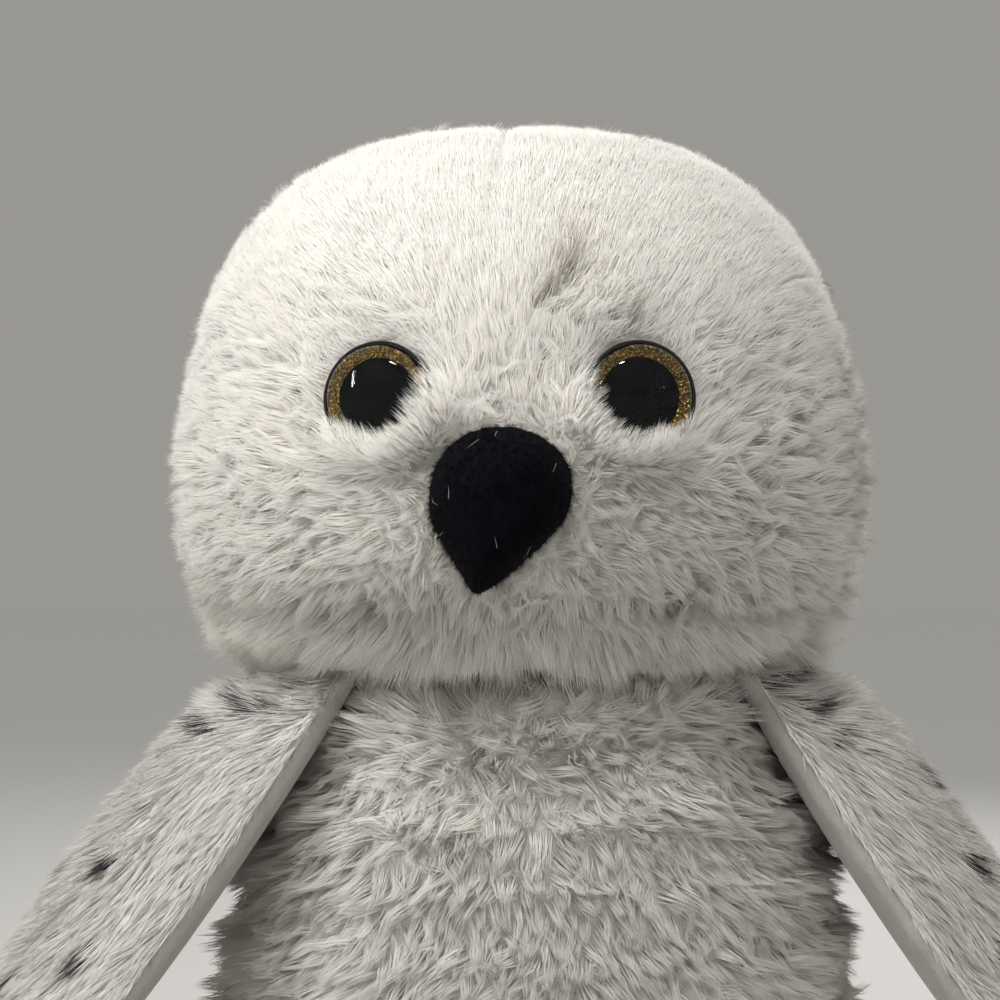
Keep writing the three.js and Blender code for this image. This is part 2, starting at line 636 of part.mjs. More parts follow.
// Head: skin, filling, two eyes and the beak
function addHead() {
  const eyes = [["left", 1], ["right", -1]].map(([side, sign]) => ({
    side,
    matrix: frontFrame(head, (sign * EYE_SPACING) / 2, EYE_HEIGHT, EYE_SUNK),
  }));
  const roll = new THREE.Matrix4().makeRotationZ(-radians(BEAK_ROLL_DEG));
  const beakMatrix = frontFrame(head, 0, BEAK_HEIGHT, BEAK_SUNK).multiply(roll);
  // The flat sides of the neck's hole clear the corners of the lobe as the head turns.
  const holeDiameter = NECK_DIAMETER / Math.cos(Math.PI / ROUND_SIDES);
  const neck = (from, to) => solidOf(disc(holeDiameter, from, to));
  const seatRim = beakRings(-CLEARANCE)[0];
  const levelled = (ring, z) => ring.map((p) => new THREE.Vector3(p.x, p.y, z));
  const beakSeat = placed(
    stack([levelled(seatRim, -CLEARANCE), levelled(seatRim, BEAK_PROUD + BEAK_SUNK)]),
    beakMatrix,
  );

  let skin = solidOf(formStack(head))
    .subtract(roomIn(head, HEAD_PILE, HEAD_PILE))
    .subtract(neck(-OVERRUN, HEAD_PILE + OVERRUN))
    .subtract(beakSeat);
  let filling = roomIn(head, HEAD_PILE + CLEARANCE, HEAD_PILE + CLEARANCE)
    .subtract(neck(-OVERRUN, NECK_LOBE_HEIGHT))
    .subtract(beakSeat);
  for (const { matrix } of eyes) {
    const cuts = eyeCuts();
    for (const cut of cuts.skin) skin = skin.subtract(placed(cut, matrix));
    for (const cut of cuts.filling) filling = filling.subtract(placed(cut, matrix));
  }
  addMesh(headGroup, "head_cover", skin, WHITE_PILE);
  addMesh(headGroup, "head_filling", filling, STUFFING);

  for (const { side, matrix } of eyes) {
    for (const [piece, [geometry, color, roughness]] of Object.entries(eyePieces())) {
      addMesh(headGroup, `${side}_eye_${piece}`, placed(geometry, matrix), color, roughness);
    }
  }

  const beakRoom = beakRings(VELOUR);
  beakRoom.unshift(levelled(beakRoom[0], -OVERRUN));
  const beakSkin = placed(stack(beakRings(0)), beakMatrix).subtract(placed(stack(beakRoom), beakMatrix));
  addMesh(headGroup, "beak_cover", beakSkin, BLACK_VELOUR);
  addMesh(headGroup, "beak_filling", placed(stack(beakRings(VELOUR + CLEARANCE)), beakMatrix), STUFFING);
}

function addLimb(limb) {
  const matrix = limbMatrix(limb);
  const solids = limbSolids(limb);
  const add = (name, solid, color) =>
    addMesh(owl, `${limb.name}_${name}`, placed(geometryOf(solid), matrix), color);
  add(limb.cloths[0], solids.cover, limb.colours[0]);
  add(limb.cloths[1], solids.lining, limb.colours[1]);
  add("filling", solids.filling, STUFFING);
}

addBody();
addHead();
for (const limb of limbs) addLimb(limb);

export default owl;
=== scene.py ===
# %% [markdown]
# # A plush owl
# A sitting owl, sewn from long white pile and stuffed: a wide round head, a body as broad as the head,
# two wings with a smooth lining, grey partly of its own and partly by painted shade, a short tail and two
# feet, a beak of near-black velour, and two eyes of gold glitter under a clear dome. The frame that is
# loaded here holds every piece at its real size and place. This script gives each one its cloth, its fur
# and its gloss, a step at a time.

# %% Load the frame
import json
import math

import bpy
import numpy as np
from mathutils import Matrix, Vector, noise
from mathutils.bvhtree import BVHTree
from mathutils.kdtree import KDTree


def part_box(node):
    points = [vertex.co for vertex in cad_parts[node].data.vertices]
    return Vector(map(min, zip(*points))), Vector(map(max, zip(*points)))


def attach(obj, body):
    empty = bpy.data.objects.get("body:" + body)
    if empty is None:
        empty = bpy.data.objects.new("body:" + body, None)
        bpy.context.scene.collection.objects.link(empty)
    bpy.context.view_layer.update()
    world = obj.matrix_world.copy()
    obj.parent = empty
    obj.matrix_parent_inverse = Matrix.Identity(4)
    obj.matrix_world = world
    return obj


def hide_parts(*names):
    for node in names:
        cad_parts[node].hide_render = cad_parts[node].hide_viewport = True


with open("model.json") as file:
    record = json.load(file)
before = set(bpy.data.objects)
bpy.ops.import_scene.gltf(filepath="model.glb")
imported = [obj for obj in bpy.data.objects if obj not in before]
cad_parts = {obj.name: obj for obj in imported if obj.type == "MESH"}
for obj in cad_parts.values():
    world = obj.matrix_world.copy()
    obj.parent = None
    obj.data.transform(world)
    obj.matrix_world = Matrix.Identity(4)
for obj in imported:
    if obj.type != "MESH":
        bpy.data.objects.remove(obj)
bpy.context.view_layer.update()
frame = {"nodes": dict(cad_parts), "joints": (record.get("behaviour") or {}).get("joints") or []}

MM = 0.001

# %% [markdown]
# ## Camera and light
# The owl is seen from straight ahead at the height of its beak, near enough that the head nearly fills
# the picture. A broad lamp above and in front gives the soft shade under the chin. Gloss doesn't mirror
# it, because two small lamps make the bright spots on the eyes: one to the left and one overhead. A
# fourth lamp lights the owl's back. The pale sky that fills the rest comes with the floor.

# %% Camera
CAMERA_PLACE = Vector((-8.78, -455, 210)) * MM
SENSOR_WIDTH = 36.0  # mm
FOCAL_PIXELS = 1814.0  # what a thing spans that is as wide as it is far away
IMAGE_PIXELS = 1000.0

camera_data = bpy.data.cameras.new("camera")
camera_data.sensor_width = SENSOR_WIDTH
camera_data.lens = SENSOR_WIDTH * FOCAL_PIXELS / IMAGE_PIXELS
camera_data.clip_start = 10 * MM
camera = bpy.data.objects.new("camera", camera_data)
camera.location = CAMERA_PLACE
camera.rotation_euler = (math.radians(90), 0, 0)
bpy.context.scene.collection.objects.link(camera)
bpy.context.scene.camera = camera
bpy.context.scene.view_settings.view_transform = "Standard"


def in_picture(places):
    """Where places, as rows in metres, are in the picture, in pixels across and down."""
    offset = np.asarray(places) - np.array(CAMERA_PLACE)
    scale = FOCAL_PIXELS / offset[..., 1]
    across = IMAGE_PIXELS / 2 + offset[..., 0] * scale
    down = IMAGE_PIXELS / 2 - offset[..., 2] * scale
    return np.stack([across, down], -1)


print("camera lens", round(camera_data.lens, 1), "mm")

# %% Lamps
AIM = Vector((0, -20, 190)) * MM


def add_lamp(name, place, width, height, power, shown=True, roll=0.0):
    """A rectangular soft lamp that looks at the owl; gloss mirrors it where shown is true."""
    light = bpy.data.lights.new(name, "AREA")
    light.shape = "RECTANGLE"
    light.size, light.size_y = width * MM, height * MM
    light.energy = power
    lamp = bpy.data.objects.new(name, light)
    lamp.location = Vector(place) * MM
    facing = (AIM - lamp.location).to_track_quat("-Z", "Y").to_matrix()
    lamp.rotation_euler = (facing @ Matrix.Rotation(roll, 3, "Z")).to_euler()
    lamp.visible_glossy = shown
    bpy.context.scene.collection.objects.link(lamp)


# Each lamp: its name, its place in mm, its width and height in mm, and its power in watts
add_lamp("key_lamp", (-110, -480, 720), 420, 300, 1.1, shown=False)
add_lamp("eye_lamp", (-480, -345, 520), 36, 175, 1.6, roll=0.5)
add_lamp("glint_lamp", (-52, -363, 721), 70, 32, 0.9)
add_lamp("back_lamp", (240, 620, 560), 500, 400, 3.2, shown=False)

# %% [markdown]
# ## Shader maths
# Every finish here is a small sum of patterns. Written as nodes such a sum is hard to read, so one class
# wraps a socket and gives it the signs of arithmetic, and one method adds every other kind of node.


# %% A finish and its values
class Value:
    """A socket of a finish that can stand in sums."""

    def __init__(self, finish, socket):
        self.finish = finish
        self.socket = socket

    def maths(self, operation, *sides):
        return self.finish.node("ShaderNodeMath", {"operation": operation}, dict(enumerate(sides)))

    def __add__(self, other):
        return self.maths("ADD", self, other)

    def __mul__(self, other):
        return self.maths("MULTIPLY", self, other)

    __radd__ = __add__
    __rmul__ = __mul__


class Finish:
    """A procedural material: its nodes are added one by one, and its numbers are set on its shader."""

    def __init__(self, name, **numbers):
        self.material = bpy.data.materials.new(name)
        self.material.use_nodes = True
        self.nodes = self.material.node_tree.nodes
        self.links = self.material.node_tree.links
        self.shader = next(n for n in self.nodes if n.type == "BSDF_PRINCIPLED")
        for socket, number in numbers.items():
            self.shader.inputs[socket.replace("_", " ")].default_value = number

    def node(self, kind, settings=(), inputs=(), output=0):
        """Adds a node. Its settings come first, then the values or links of its sockets."""
        node = self.nodes.new(kind)
        for setting, value in dict(settings).items():
            if setting == "stops":
                self.set_stops(node.color_ramp.elements, value)
            else:
                setattr(node, setting, value)
        for socket, value in dict(inputs).items():
            if isinstance(value, Value):
                self.links.new(value.socket, node.inputs[socket])
            else:
                node.inputs[socket].default_value = value
        return Value(self, node.outputs[output])

    @staticmethod
    def set_stops(elements, stops):
        while len(elements) < len(stops):
            elements.new(1)
        for element, (position, colour) in zip(elements, stops):
            element.position = position
            element.color = (*colour, 1)

    def feed(self, socket, value):
        """Links a value that changes over the surface to the shader."""
        self.links.new(value.socket, self.shader.inputs[socket])

    def place(self):
        """Where a point is on the object."""
        return self.node("ShaderNodeTexCoord", output="Object")

    def speckle(self, size, detail):
        """A cloudy pattern from 0 to 1 whose spots are about this size, in metres."""
        inputs = {"Vector": self.place(), "Scale": 1 / size, "Detail": detail}
        return self.node("ShaderNodeTexNoise", inputs=inputs)

    def ramp(self, value, *stops):
        """A colour for each value from 0 to 1."""
        return self.node("ShaderNodeValToRGB", {"stops": stops}, {"Fac": value})

    def mixed(self, settings, inputs):
        """A Mix node for colours, whose sockets are told apart by kind."""
        node = self.nodes.new("ShaderNodeMix")
        for setting, value in settings.items():
            setattr(node, setting, value)
        for name, value in inputs.items():
            socket = next(s for s in node.inputs if s.name == name and s.enabled)
            if isinstance(value, Value):
                self.links.new(value.socket, socket)
            else:
                socket.default_value = value
        return Value(self, next(s for s in node.outputs if s.enabled))

    def bump(self, height, depth):
        """Raises the surface by a pattern, whose full height is depth in metres."""
        inputs = {"Height": height, "Distance": depth, "Strength": 1.0}
        self.feed("Normal", self.node("ShaderNodeBump", inputs=inputs))


print("shader maths ready")

# %% [markdown]
# ## Floor
# The owl sits on a pale floor that reaches past the picture. Its colour is painted light: lighter near
# the owl and darker far off, so that it fades into the backdrop. The camera, and whatever mirrors it,
# sees floor and sky at the same pale grey, and the floor still takes the owl's shadow.

# %% Floor and sky
BACKDROP = (0.32, 0.31, 0.29)
SKY_COLOUR = (1.0, 0.985, 0.96)
SKY_LEVEL, SKY_OVERHEAD = 0.60, 0.76  # how strong the sky is at eye level and overhead
SKY_LOW, SKY_HIGH = 0.15, 0.85  # the upward part of a direction where the change begins, and where it ends
FLOOR_SIZE = 6.0  # metres


def add_sky():
    """A sky that lights softly, brighter overhead, and shows to the camera as an even backdrop."""
    world = bpy.data.worlds.new("sky")
    world.use_nodes = True
    nodes, links = world.node_tree.nodes, world.node_tree.links
    lit = next(n for n in nodes if n.type == "BACKGROUND")
    way = nodes.new("ShaderNodeTexCoord")
    parts = nodes.new("ShaderNodeSeparateXYZ")
    links.new(way.outputs["Generated"], parts.inputs[0])
    rise = nodes.new("ShaderNodeMapRange")
    limits = {"From Min": SKY_LOW, "From Max": SKY_HIGH, "To Min": SKY_LEVEL, "To Max": SKY_OVERHEAD}
    for socket, value in limits.items():
        rise.inputs[socket].default_value = value
    links.new(parts.outputs["Z"], rise.inputs["Value"])
    links.new(rise.outputs[0], lit.inputs["Strength"])
    lit.inputs["Color"].default_value = (*SKY_COLOUR, 1)
    shown = nodes.new("ShaderNodeBackground")
    shown.inputs["Color"].default_value = (*BACKDROP, 1)
    rays = nodes.new("ShaderNodeLightPath")
    either = rays.outputs["Is Camera Ray"]
    for ray in ("Is Glossy Ray", "Is Transmission Ray"):
        join = nodes.new("ShaderNodeMath")
        join.operation = "MAXIMUM"
        links.new(either, join.inputs[0])
        links.new(rays.outputs[ray], join.inputs[1])
        either = join.outputs[0]
    mixed = nodes.new("ShaderNodeMixShader")
    links.new(either, mixed.inputs[0])
    links.new(lit.outputs[0], mixed.inputs[1])
    links.new(shown.outputs[0], mixed.inputs[2])
    output = next(n for n in nodes if n.type == "OUTPUT_WORLD")
    links.new(mixed.outputs[0], output.inputs["Surface"])
    bpy.context.scene.world = world


def clear_selection():
    """Nothing selected and nothing active, so that an operator meets only what comes next."""
    for piece in bpy.context.selected_objects:
        piece.select_set(False)
    bpy.context.view_layer.objects.active = None


def ready(*pieces):
    """Only these pieces selected, the first one active."""
    clear_selection()
    for piece in pieces:
        piece.select_set(True)
    bpy.context.view_layer.objects.active = pieces[0]


add_sky()
clear_selection()
bpy.ops.mesh.primitive_plane_add(size=FLOOR_SIZE)
floor = bpy.context.object
floor.name = "floor"
floor_finish = Finish("pale_floor", Roughness=0.9)
here = {"Vector": floor_finish.place()}
from_owl = floor_finish.node("ShaderNodeVectorMath", {"operation": "LENGTH"}, here, 1)
# Each tone of the floor, after its distance from the owl in metres: painted light, lighter near the owl and
# darker far off
near_floor, far_floor = (0.2, (0.52, 0.51, 0.49)), (1.0, (0.436, 0.431, 0.413))
floor_finish.feed("Base Color", floor_finish.ramp(from_owl, near_floor, far_floor))
floor.data.materials.append(floor_finish.material)
print("floor and sky added")

# %% [markdown]
# ## Finishes
# The pile is an acrylic plush. Each lock of it is a solid of its own here, so its finish only has to say
# how white the lock is and how far a painted shade darkens its root, standing in for the shadow deep in
# the pile. Both are read from the lock's own map: across it the tone, along it the way from root to tip.
# The same map holds the grey of the spots on the wings.

# %% Pile
TONES = 32  # columns of the map, each one tone of pile
WHITE_TONES = (0.02, 0.7)
DARK_PATCH_TONES = (0.75, 0.87)  # from a dark patch's edge to its middle
# the tone of the throat's locks: painted shade in the hollow under the chin
THROAT_PAINTED_SHADE_TONE = 0.79
GREY_TONES = (0.91, 0.97)  # from a spot's edge to its middle


def pile_finish():
    """White plush: cream to white from lock to lock, with a painted shade that darkens the root a little."""
    finish = Finish("white_pile", Roughness=0.8, Specular_IOR_Level=0.25)
    where = finish.node("ShaderNodeUVMap", {"uv_map": "OFBake"})
    parts = finish.node("ShaderNodeSeparateXYZ", inputs={"Vector": where})
    tone = Value(finish, parts.socket.node.outputs["X"])
    along = Value(finish, parts.socket.node.outputs["Y"])
    colour = finish.ramp(
        tone,
        (0.0, (0.84, 0.80, 0.73)),
        (0.3, (0.885, 0.855, 0.79)),
        (0.72, (0.92, 0.895, 0.84)),
        # painted shade of the throat; from here to the next stop run the forehead's darker patches
        (0.79, (0.69, 0.65, 0.585)),
        (0.87, (0.36, 0.335, 0.28)),
        (0.90, (0.095, 0.095, 0.10)),
        (1.0, (0.035, 0.037, 0.043)),
    )
    # painted shade: each lock is darkened towards its root, standing in for the shadow deep in the pile
    shade = finish.ramp(along, (0.0, (0.80, 0.785, 0.76)), (0.5, (0.98,) * 3), (1.0, (1.0,) * 3))
    settings = {"data_type": "RGBA", "blend_type": "MULTIPLY"}
    finish.feed("Base Color", finish.mixed(settings, {"Factor": 1.0, "A": colour, "B": shade}))
    finish.feed("Roughness", along * -0.12 + 0.82)
    return finish.material


white_pile = pile_finish()
print("pile:", TONES, "tones")

# %% [markdown]
# The cloth under the pile is a knit, seen only where the locks part. It is darker than the pile: painted
# shade, so that the gaps between the locks look shadowed. The lining of the wings is a short brushed plush
# that looks smooth, with a faint nap; its grey is partly its own colour and partly painted shade. Velour
# has a pile too short to see as hairs: its mark is a soft sheen at the edges and a fine, slightly clouded
# grain.


# %% Cloths
CLOUD_SIZE = 14 * MM


def cloth_finish(name, dark, light, grain, depth, roughness, **numbers):
    """Woven or brushed cloth: clouded between two colours, with a fine raised grain."""
    print("cloth:", name)
    finish = Finish(name, Roughness=roughness, Sheen_Roughness=0.35, **numbers)
    fine = finish.speckle(grain, detail=4.0)
    broad = finish.speckle(CLOUD_SIZE, detail=3.0)
    finish.feed("Base Color", finish.ramp(fine * 0.45 + broad * 0.55, (0.3, dark), (0.7, light)))
    finish.feed("Roughness", fine * 0.16 + (roughness - 0.08))
    finish.bump(fine, depth)
    return finish.material


# painted shade: the knit is darker than the pile, so that the gaps between the locks look shadowed
knit_backing_painted_shade = cloth_finish("knit_backing_painted_shade", (0.66, 0.64, 0.60), (0.75, 0.73, 0.69), 0.7 * MM, 0.3 * MM, 0.9)
# partly painted shade: the lining's own grey is darkened further, as if it lay in shade
grey_lining = cloth_finish(
    "grey_lining", (0.35, 0.34, 0.315), (0.45, 0.435, 0.405), 0.8 * MM, 0.22 * MM, 0.8, Sheen_Weight=0.3
)
base_cloth = cloth_finish("base_cloth", (0.50, 0.49, 0.46), (0.66, 0.64, 0.60), 0.9 * MM, 0.3 * MM, 0.85)
pellet_cloth = cloth_finish("pellet_cloth", (0.58, 0.55, 0.48), (0.72, 0.69, 0.61), 1.1 * MM, 0.4 * MM, 0.9)
stuffing = cloth_finish("stuffing", (0.80, 0.79, 0.77), (0.92, 0.91, 0.90), 2.5 * MM, 1.2 * MM, 0.95)
black_velour = cloth_finish(
    "black_velour", (0.0014, 0.0017, 0.003), (0.0035, 0.004, 0.007), 0.35 * MM, 0.16 * MM, 0.9,
    Sheen_Weight=0.02, Specular_IOR_Level=0.1
)

# %% [markdown]
# ## Soft forms
# Every stuffed piece starts as a copy of its solids in the frame. A remesh turns the facets into an even
# skin of small faces, a smooth rounds them, and a short cloth simulation blows the skin up a little, as
# stuffing does. How far a point may move is capped, so that each form keeps its size.

# %% Shape helpers
random = np.random.default_rng(7)
noise.seed_set(7)  # left alone, it starts from the clock


def modified(piece, kind, **settings):
    """Adds a modifier, sets it and applies it."""
    ready(piece)
    modifier = piece.modifiers.new(kind.lower(), kind)
    for setting, value in settings.items():
        setattr(modifier, setting, value)
    bpy.ops.object.modifier_apply(modifier=modifier.name)


def places_of(piece):
    """The corners of a piece's mesh, as an array."""
    found = np.empty(len(piece.data.vertices) * 3)
    piece.data.vertices.foreach_get("co", found)
    return found.reshape(-1, 3)


def ups_of(piece):
    """The outward direction at each corner."""
    found = np.empty(len(piece.data.vertices) * 3)
    piece.data.vertex_normals.foreach_get("vector", found)
    return found.reshape(-1, 3)


def move_to(piece, places):
    """Puts a piece's corners at these places."""
    piece.data.vertices.foreach_set("co", np.ascontiguousarray(places, float).ravel())
    piece.data.update()


def copied(name, *nodes, hull=False):
    """One new piece with the meshes of these nodes, its corners merged."""
    pieces = []
    for node in nodes:
        piece = bpy.data.objects.new(name, frame["nodes"][node].data.copy())
        bpy.context.scene.collection.objects.link(piece)
        pieces.append(piece)
    ready(*pieces)
    if len(pieces) > 1:
        bpy.ops.object.join()
    piece = bpy.context.object
    piece.name = name
    piece.data.materials.clear()
    bpy.ops.object.mode_set(mode="EDIT")
    bpy.ops.mesh.select_all(action="SELECT")
    bpy.ops.mesh.remove_doubles(threshold=0.01 * MM)
    if hull:
        bpy.ops.mesh.convex_hull()
    bpy.ops.object.mode_set(mode="OBJECT")
    return piece


def smoothstep(low, high, value):
    """0 below low, 1 above high, and a soft rise between them."""
    share = np.clip((value - low) / (high - low), 0, 1)
    return share * share * (3 - 2 * share)


def mix(first, second, share):
    """Between first and second, by share."""
    return first + (second - first) * share


def unit(vectors):
    """Each row at length 1."""
    return vectors / np.maximum(np.linalg.norm(vectors, axis=-1, keepdims=True), 1e-12)


def dot(a, b):
    """The dot product of each row."""
    return np.einsum("...i,...i->...", a, b)


CLOTH_FRAMES = 14
PRESSURE = 3.0


def stuffed(piece, cap):
    """Blows a closed skin up by a cloth simulation; no corner moves further than cap."""
    rest = places_of(piece)
    ready(piece)
    cloth = piece.modifiers.new("cloth", "CLOTH")
    cloth.settings.use_pressure = True
    cloth.settings.uniform_pressure_force = PRESSURE
    cloth.settings.effector_weights.gravity = 0
    cloth.point_cache.frame_end = CLOTH_FRAMES
    for number in range(1, CLOTH_FRAMES + 1):
        bpy.context.scene.frame_set(number)
    bpy.ops.object.modifier_apply(modifier=cloth.name)
    bpy.context.scene.frame_set(1)
    moved = places_of(piece) - rest
    far = np.linalg.norm(moved, axis=1, keepdims=True)
    move_to(piece, rest + moved * np.minimum(1, cap / np.maximum(far, 1e-9)))
    print(piece.name, "moved", round(float(far.max() / MM), 2), "mm before the cap")


def soft_form(name, nodes, voxel, rounds, hull=False):
    """A smooth closed skin over these nodes: remeshed at a voxel size in mm, and smoothed by rounds."""
    piece = copied(name, *nodes, hull=hull)
    modified(piece, "REMESH", mode="VOXEL", voxel_size=voxel * MM, use_smooth_shade=True)
    modified(piece, "SMOOTH", factor=0.5, iterations=rounds)
    return piece


def sink(piece, depths):
    """Draws a skin in along its outward directions, by an array of depths in metres."""
    move_to(piece, places_of(piece) - ups_of(piece) * np.reshape(depths, (-1, 1)))
    return piece


SEED_STEPS = (7.3, 3.1, 5.7)  # how far the pattern moves from one seed to the next


def cloudy(places, size, seed):
    """A smooth random vector for each place, from -1 to 1, that changes over about this size."""
    shift = Vector([seed * step for step in SEED_STEPS])
    return np.array([noise.noise_vector(Vector(p) / size + shift) for p in places])


print("shape helpers ready")

# %% [markdown]
# ## Head and body skins
# The head is a wide, slightly flattened ball. Under the pile its skin dips round each eye, where the
# shank pulls it in, swells at the cheeks and round the beak, and has a seam over the crown. The body is
# a barrel with a soft shoulder. Both skins lie below the tips of the pile by the thickness of the pile.

# %% Eyes and beak: where they are
EYE_RADIUS = 12 * MM
EYE_REACH = 20 * MM  # before and behind an iris, what is still by the eye
HEAD_MIDDLE = (np.array(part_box("head_cover")[0]) + np.array(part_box("head_cover")[1])) / 2


def vertices_of(node):
    """The corners of a CAD node, without repeats."""
    return np.unique(places_of(frame["nodes"][node]).round(7), axis=0)


def eye_frame(side):
    """The middle of an eye's iris, and the way that it looks."""
    places = vertices_of(f"{side}_eye_iris")
    middle = places.mean(0)
    axes = np.linalg.eigh(np.cov((places - middle).T))[1]
    axis = axes[:, 0] * np.sign(-axes[1, 0])
    return middle, axis


eyes = {side: eye_frame(side) for side in ("left", "right")}
FACE_AXIS = unit((eyes["left"][1] + eyes["right"][1]) * np.array([1, 1, 0]))
FACE_RIGHT = np.array([-FACE_AXIS[1], FACE_AXIS[0], 0.0])  # to the owl's left, +X
BEAK_MIDDLE = vertices_of("beak_cover").mean(0)
print("eyes look along", [axis.round(3).tolist() for _, axis in eyes.values()])


def from_eye(places, side):
    """How far each place is from an eye's axis, and how far it is along it from the iris."""
    middle, axis = eyes[side]
    offset = places - middle
    along = offset @ axis
    return np.linalg.norm(offset - along[:, None] * axis, axis=1), along


def near_eyes(places):
    """The distance to the nearer eye's axis, for places on the face, else far away."""
    near = np.full(len(places), 1.0)
    for side in eyes:
        away, along = from_eye(places, side)
        near = np.where(np.abs(along) < EYE_REACH, np.minimum(near, away), near)
    return near


def head_sideways(places):
    """How far each place is to the left of the head's middle plane."""
    return (places - HEAD_MIDDLE) @ FACE_RIGHT


def fringe_share(places, side):
    """1 below its own eye and towards the beak, where the pile lies over it, and 0 elsewhere."""
    middle, axis = eyes[side]
    offset = places - middle
    inwards = FACE_RIGHT * (-1 if side == "left" else 1)
    way = unit(offset - (offset @ axis)[:, None] * axis)
    own = head_sideways(places) * (1 if side == "left" else -1) > -2 * MM
    return smoothstep(-0.15, 0.75, way @ unit(inwards * 0.45 + np.array([0, 0, -1.0]))) * own


# %% Head skin
PILE_DEPTH = 3.6 * MM  # how far the skin lies under the tips of the pile
BROW_DEPTH = 1.5 * MM
COLLAR_DEPTH = 0.8 * MM
CHIN_DEPTH = 4.5 * MM
EYE_DEPTH = 5 * MM
BROW = (0.232, 0.262)  # the heights between which the fluffy face becomes the smooth forehead
COLLAR = (0.1735, 0.182)  # the heights over which the skin draws in, from the neck upwards
SEAM_ASIDE = 2.2 * MM  # the crown seam lies this far to the owl's right
SEAM_DEPTH = 0.6 * MM


def build_head_skin():
    """The head's skin, drawn in under the pile, with its dips, cheeks and crown seam."""
    skin = soft_form("head_skin", ["head_cover"], voxel=3.0, rounds=6, hull=True)
    stuffed(skin, cap=1.2 * MM)
    places = places_of(skin)
    z, y = places[:, 2], places[:, 1]
    eye = near_eyes(places)
    depth = mix(PILE_DEPTH, BROW_DEPTH, smoothstep(*BROW, z))
    depth = mix(COLLAR_DEPTH, depth, smoothstep(*COLLAR, z))
    fringe = np.maximum(fringe_share(places, "left"), fringe_share(places, "right"))
    dip = mix(1.2 * MM, -3.6 * MM, fringe)
    depth += dip * (1 - smoothstep(EYE_RADIUS + 1.5 * MM, EYE_RADIUS + 8 * MM, eye))
    depth += EYE_DEPTH * (1 - smoothstep(8.3 * MM, 11.2 * MM, eye))
    depth += CHIN_DEPTH * smoothstep(-0.015, -0.045, y) * (1 - smoothstep(0.176, 0.194, z))
    across = np.abs(head_sideways(places) + SEAM_ASIDE)
    seam = (1 - smoothstep(0.3 * MM, 3 * MM, across)) * smoothstep(0.250, 0.268, z)
    depth += SEAM_DEPTH * seam
    lumps = cloudy(places, 26 * MM, 1)[:, 0]
    depth += mix(0.9, 0.35, smoothstep(*BROW, z)) * MM * lumps
    return sink(skin, depth)


head_skin = build_head_skin()
print("head skin:", len(head_skin.data.polygons), "faces")


# %% Body skin
THROAT_MIDDLE = -13 * MM
THROAT_WIDTH = 19 * MM
THROAT = (0.144, 0.176)  # the heights of its point and of its top


def throat_share(places):
    """1 in the shaded hollow under the chin, which narrows downwards to a point, and 0 elsewhere."""
    width = THROAT_WIDTH * smoothstep(*THROAT, places[:, 2]) + 0.1 * MM
    aside = np.abs(places[:, 0] - THROAT_MIDDLE) / width
    return (1 - smoothstep(0.4, 1.0, aside)) * (places[:, 1] < 0)


def build_body_skin():
    """The body's skin, drawn in under the pile, flat at its base."""
    skin = soft_form("body_skin", ["body_cover"], voxel=3.4, rounds=6, hull=True)
    stuffed(skin, cap=1.2 * MM)
    places = places_of(skin)
    z = places[:, 2]
    depth = mix(1.0 * MM, 4.2 * MM, smoothstep(0.1715, 0.160, z))
    depth += 1.0 * MM * cloudy(places, 30 * MM, 2)[:, 0] + 2.0 * MM * throat_share(places)
    return sink(skin, depth)


body_skin = build_body_skin()
print("body skin:", len(body_skin.data.polygons), "faces")

# %% [markdown]
# ## Growing pile
# A lock of plush is a few fibres that stick together: thick at the root, and pointed. Two locks are
# modelled first. One is a three-sided cone, for the fine short pile. The other has a ring at half its
# length, where it bends over, for the longer tufts. Every lock of the owl is a copy of one of them, laid
# along a curve of its own. Roots are scattered over a skin. Each lock leaves the skin at an angle, bends
# over the way the pile is combed, and leans towards its neighbours' tips, which makes the tufts.
# Operators can't place hundreds of thousands of them, so arrays do. Light wanders from fibre to fibre in
# white pile, and makes it soft, so each lock is shaded mostly by the way that its skin faces.


# %% The locks
def model_lock(bent):
    """A three-sided pointed lock of unit length and root radius, with a swollen middle ring if it bends."""
    clear_selection()
    bpy.ops.mesh.primitive_cone_add(vertices=3, radius1=1, radius2=0, depth=1, location=(0, 0, 0.5))
    lock = bpy.context.object
    bpy.ops.object.transform_apply(location=True, rotation=True, scale=True)
    if bent:
        bpy.ops.object.mode_set(mode="EDIT")
        bpy.ops.mesh.select_all(action="SELECT")
        bpy.ops.mesh.bisect(plane_co=(0, 0, 0.5), plane_no=(0, 0, 1))
        bpy.ops.transform.resize(value=(1.3, 1.3, 1))
        bpy.ops.object.mode_set(mode="OBJECT")
    places, faces = places_of(lock), [list(p.vertices) for p in lock.data.polygons]
    bpy.data.objects.remove(lock)
    return places, faces


STRAIGHT, BENT = model_lock(False), model_lock(True)
for places, faces in (STRAIGHT, BENT):
    print("lock:", len(places), "corners,", sum(len(f) - 2 for f in faces), "triangles")


# %% Locks along curves
TONE_HALF_WIDTH = 0.42  # of a tone's column in the map, as much as a lock's root takes to each side
MAP_MARGIN = 0.01


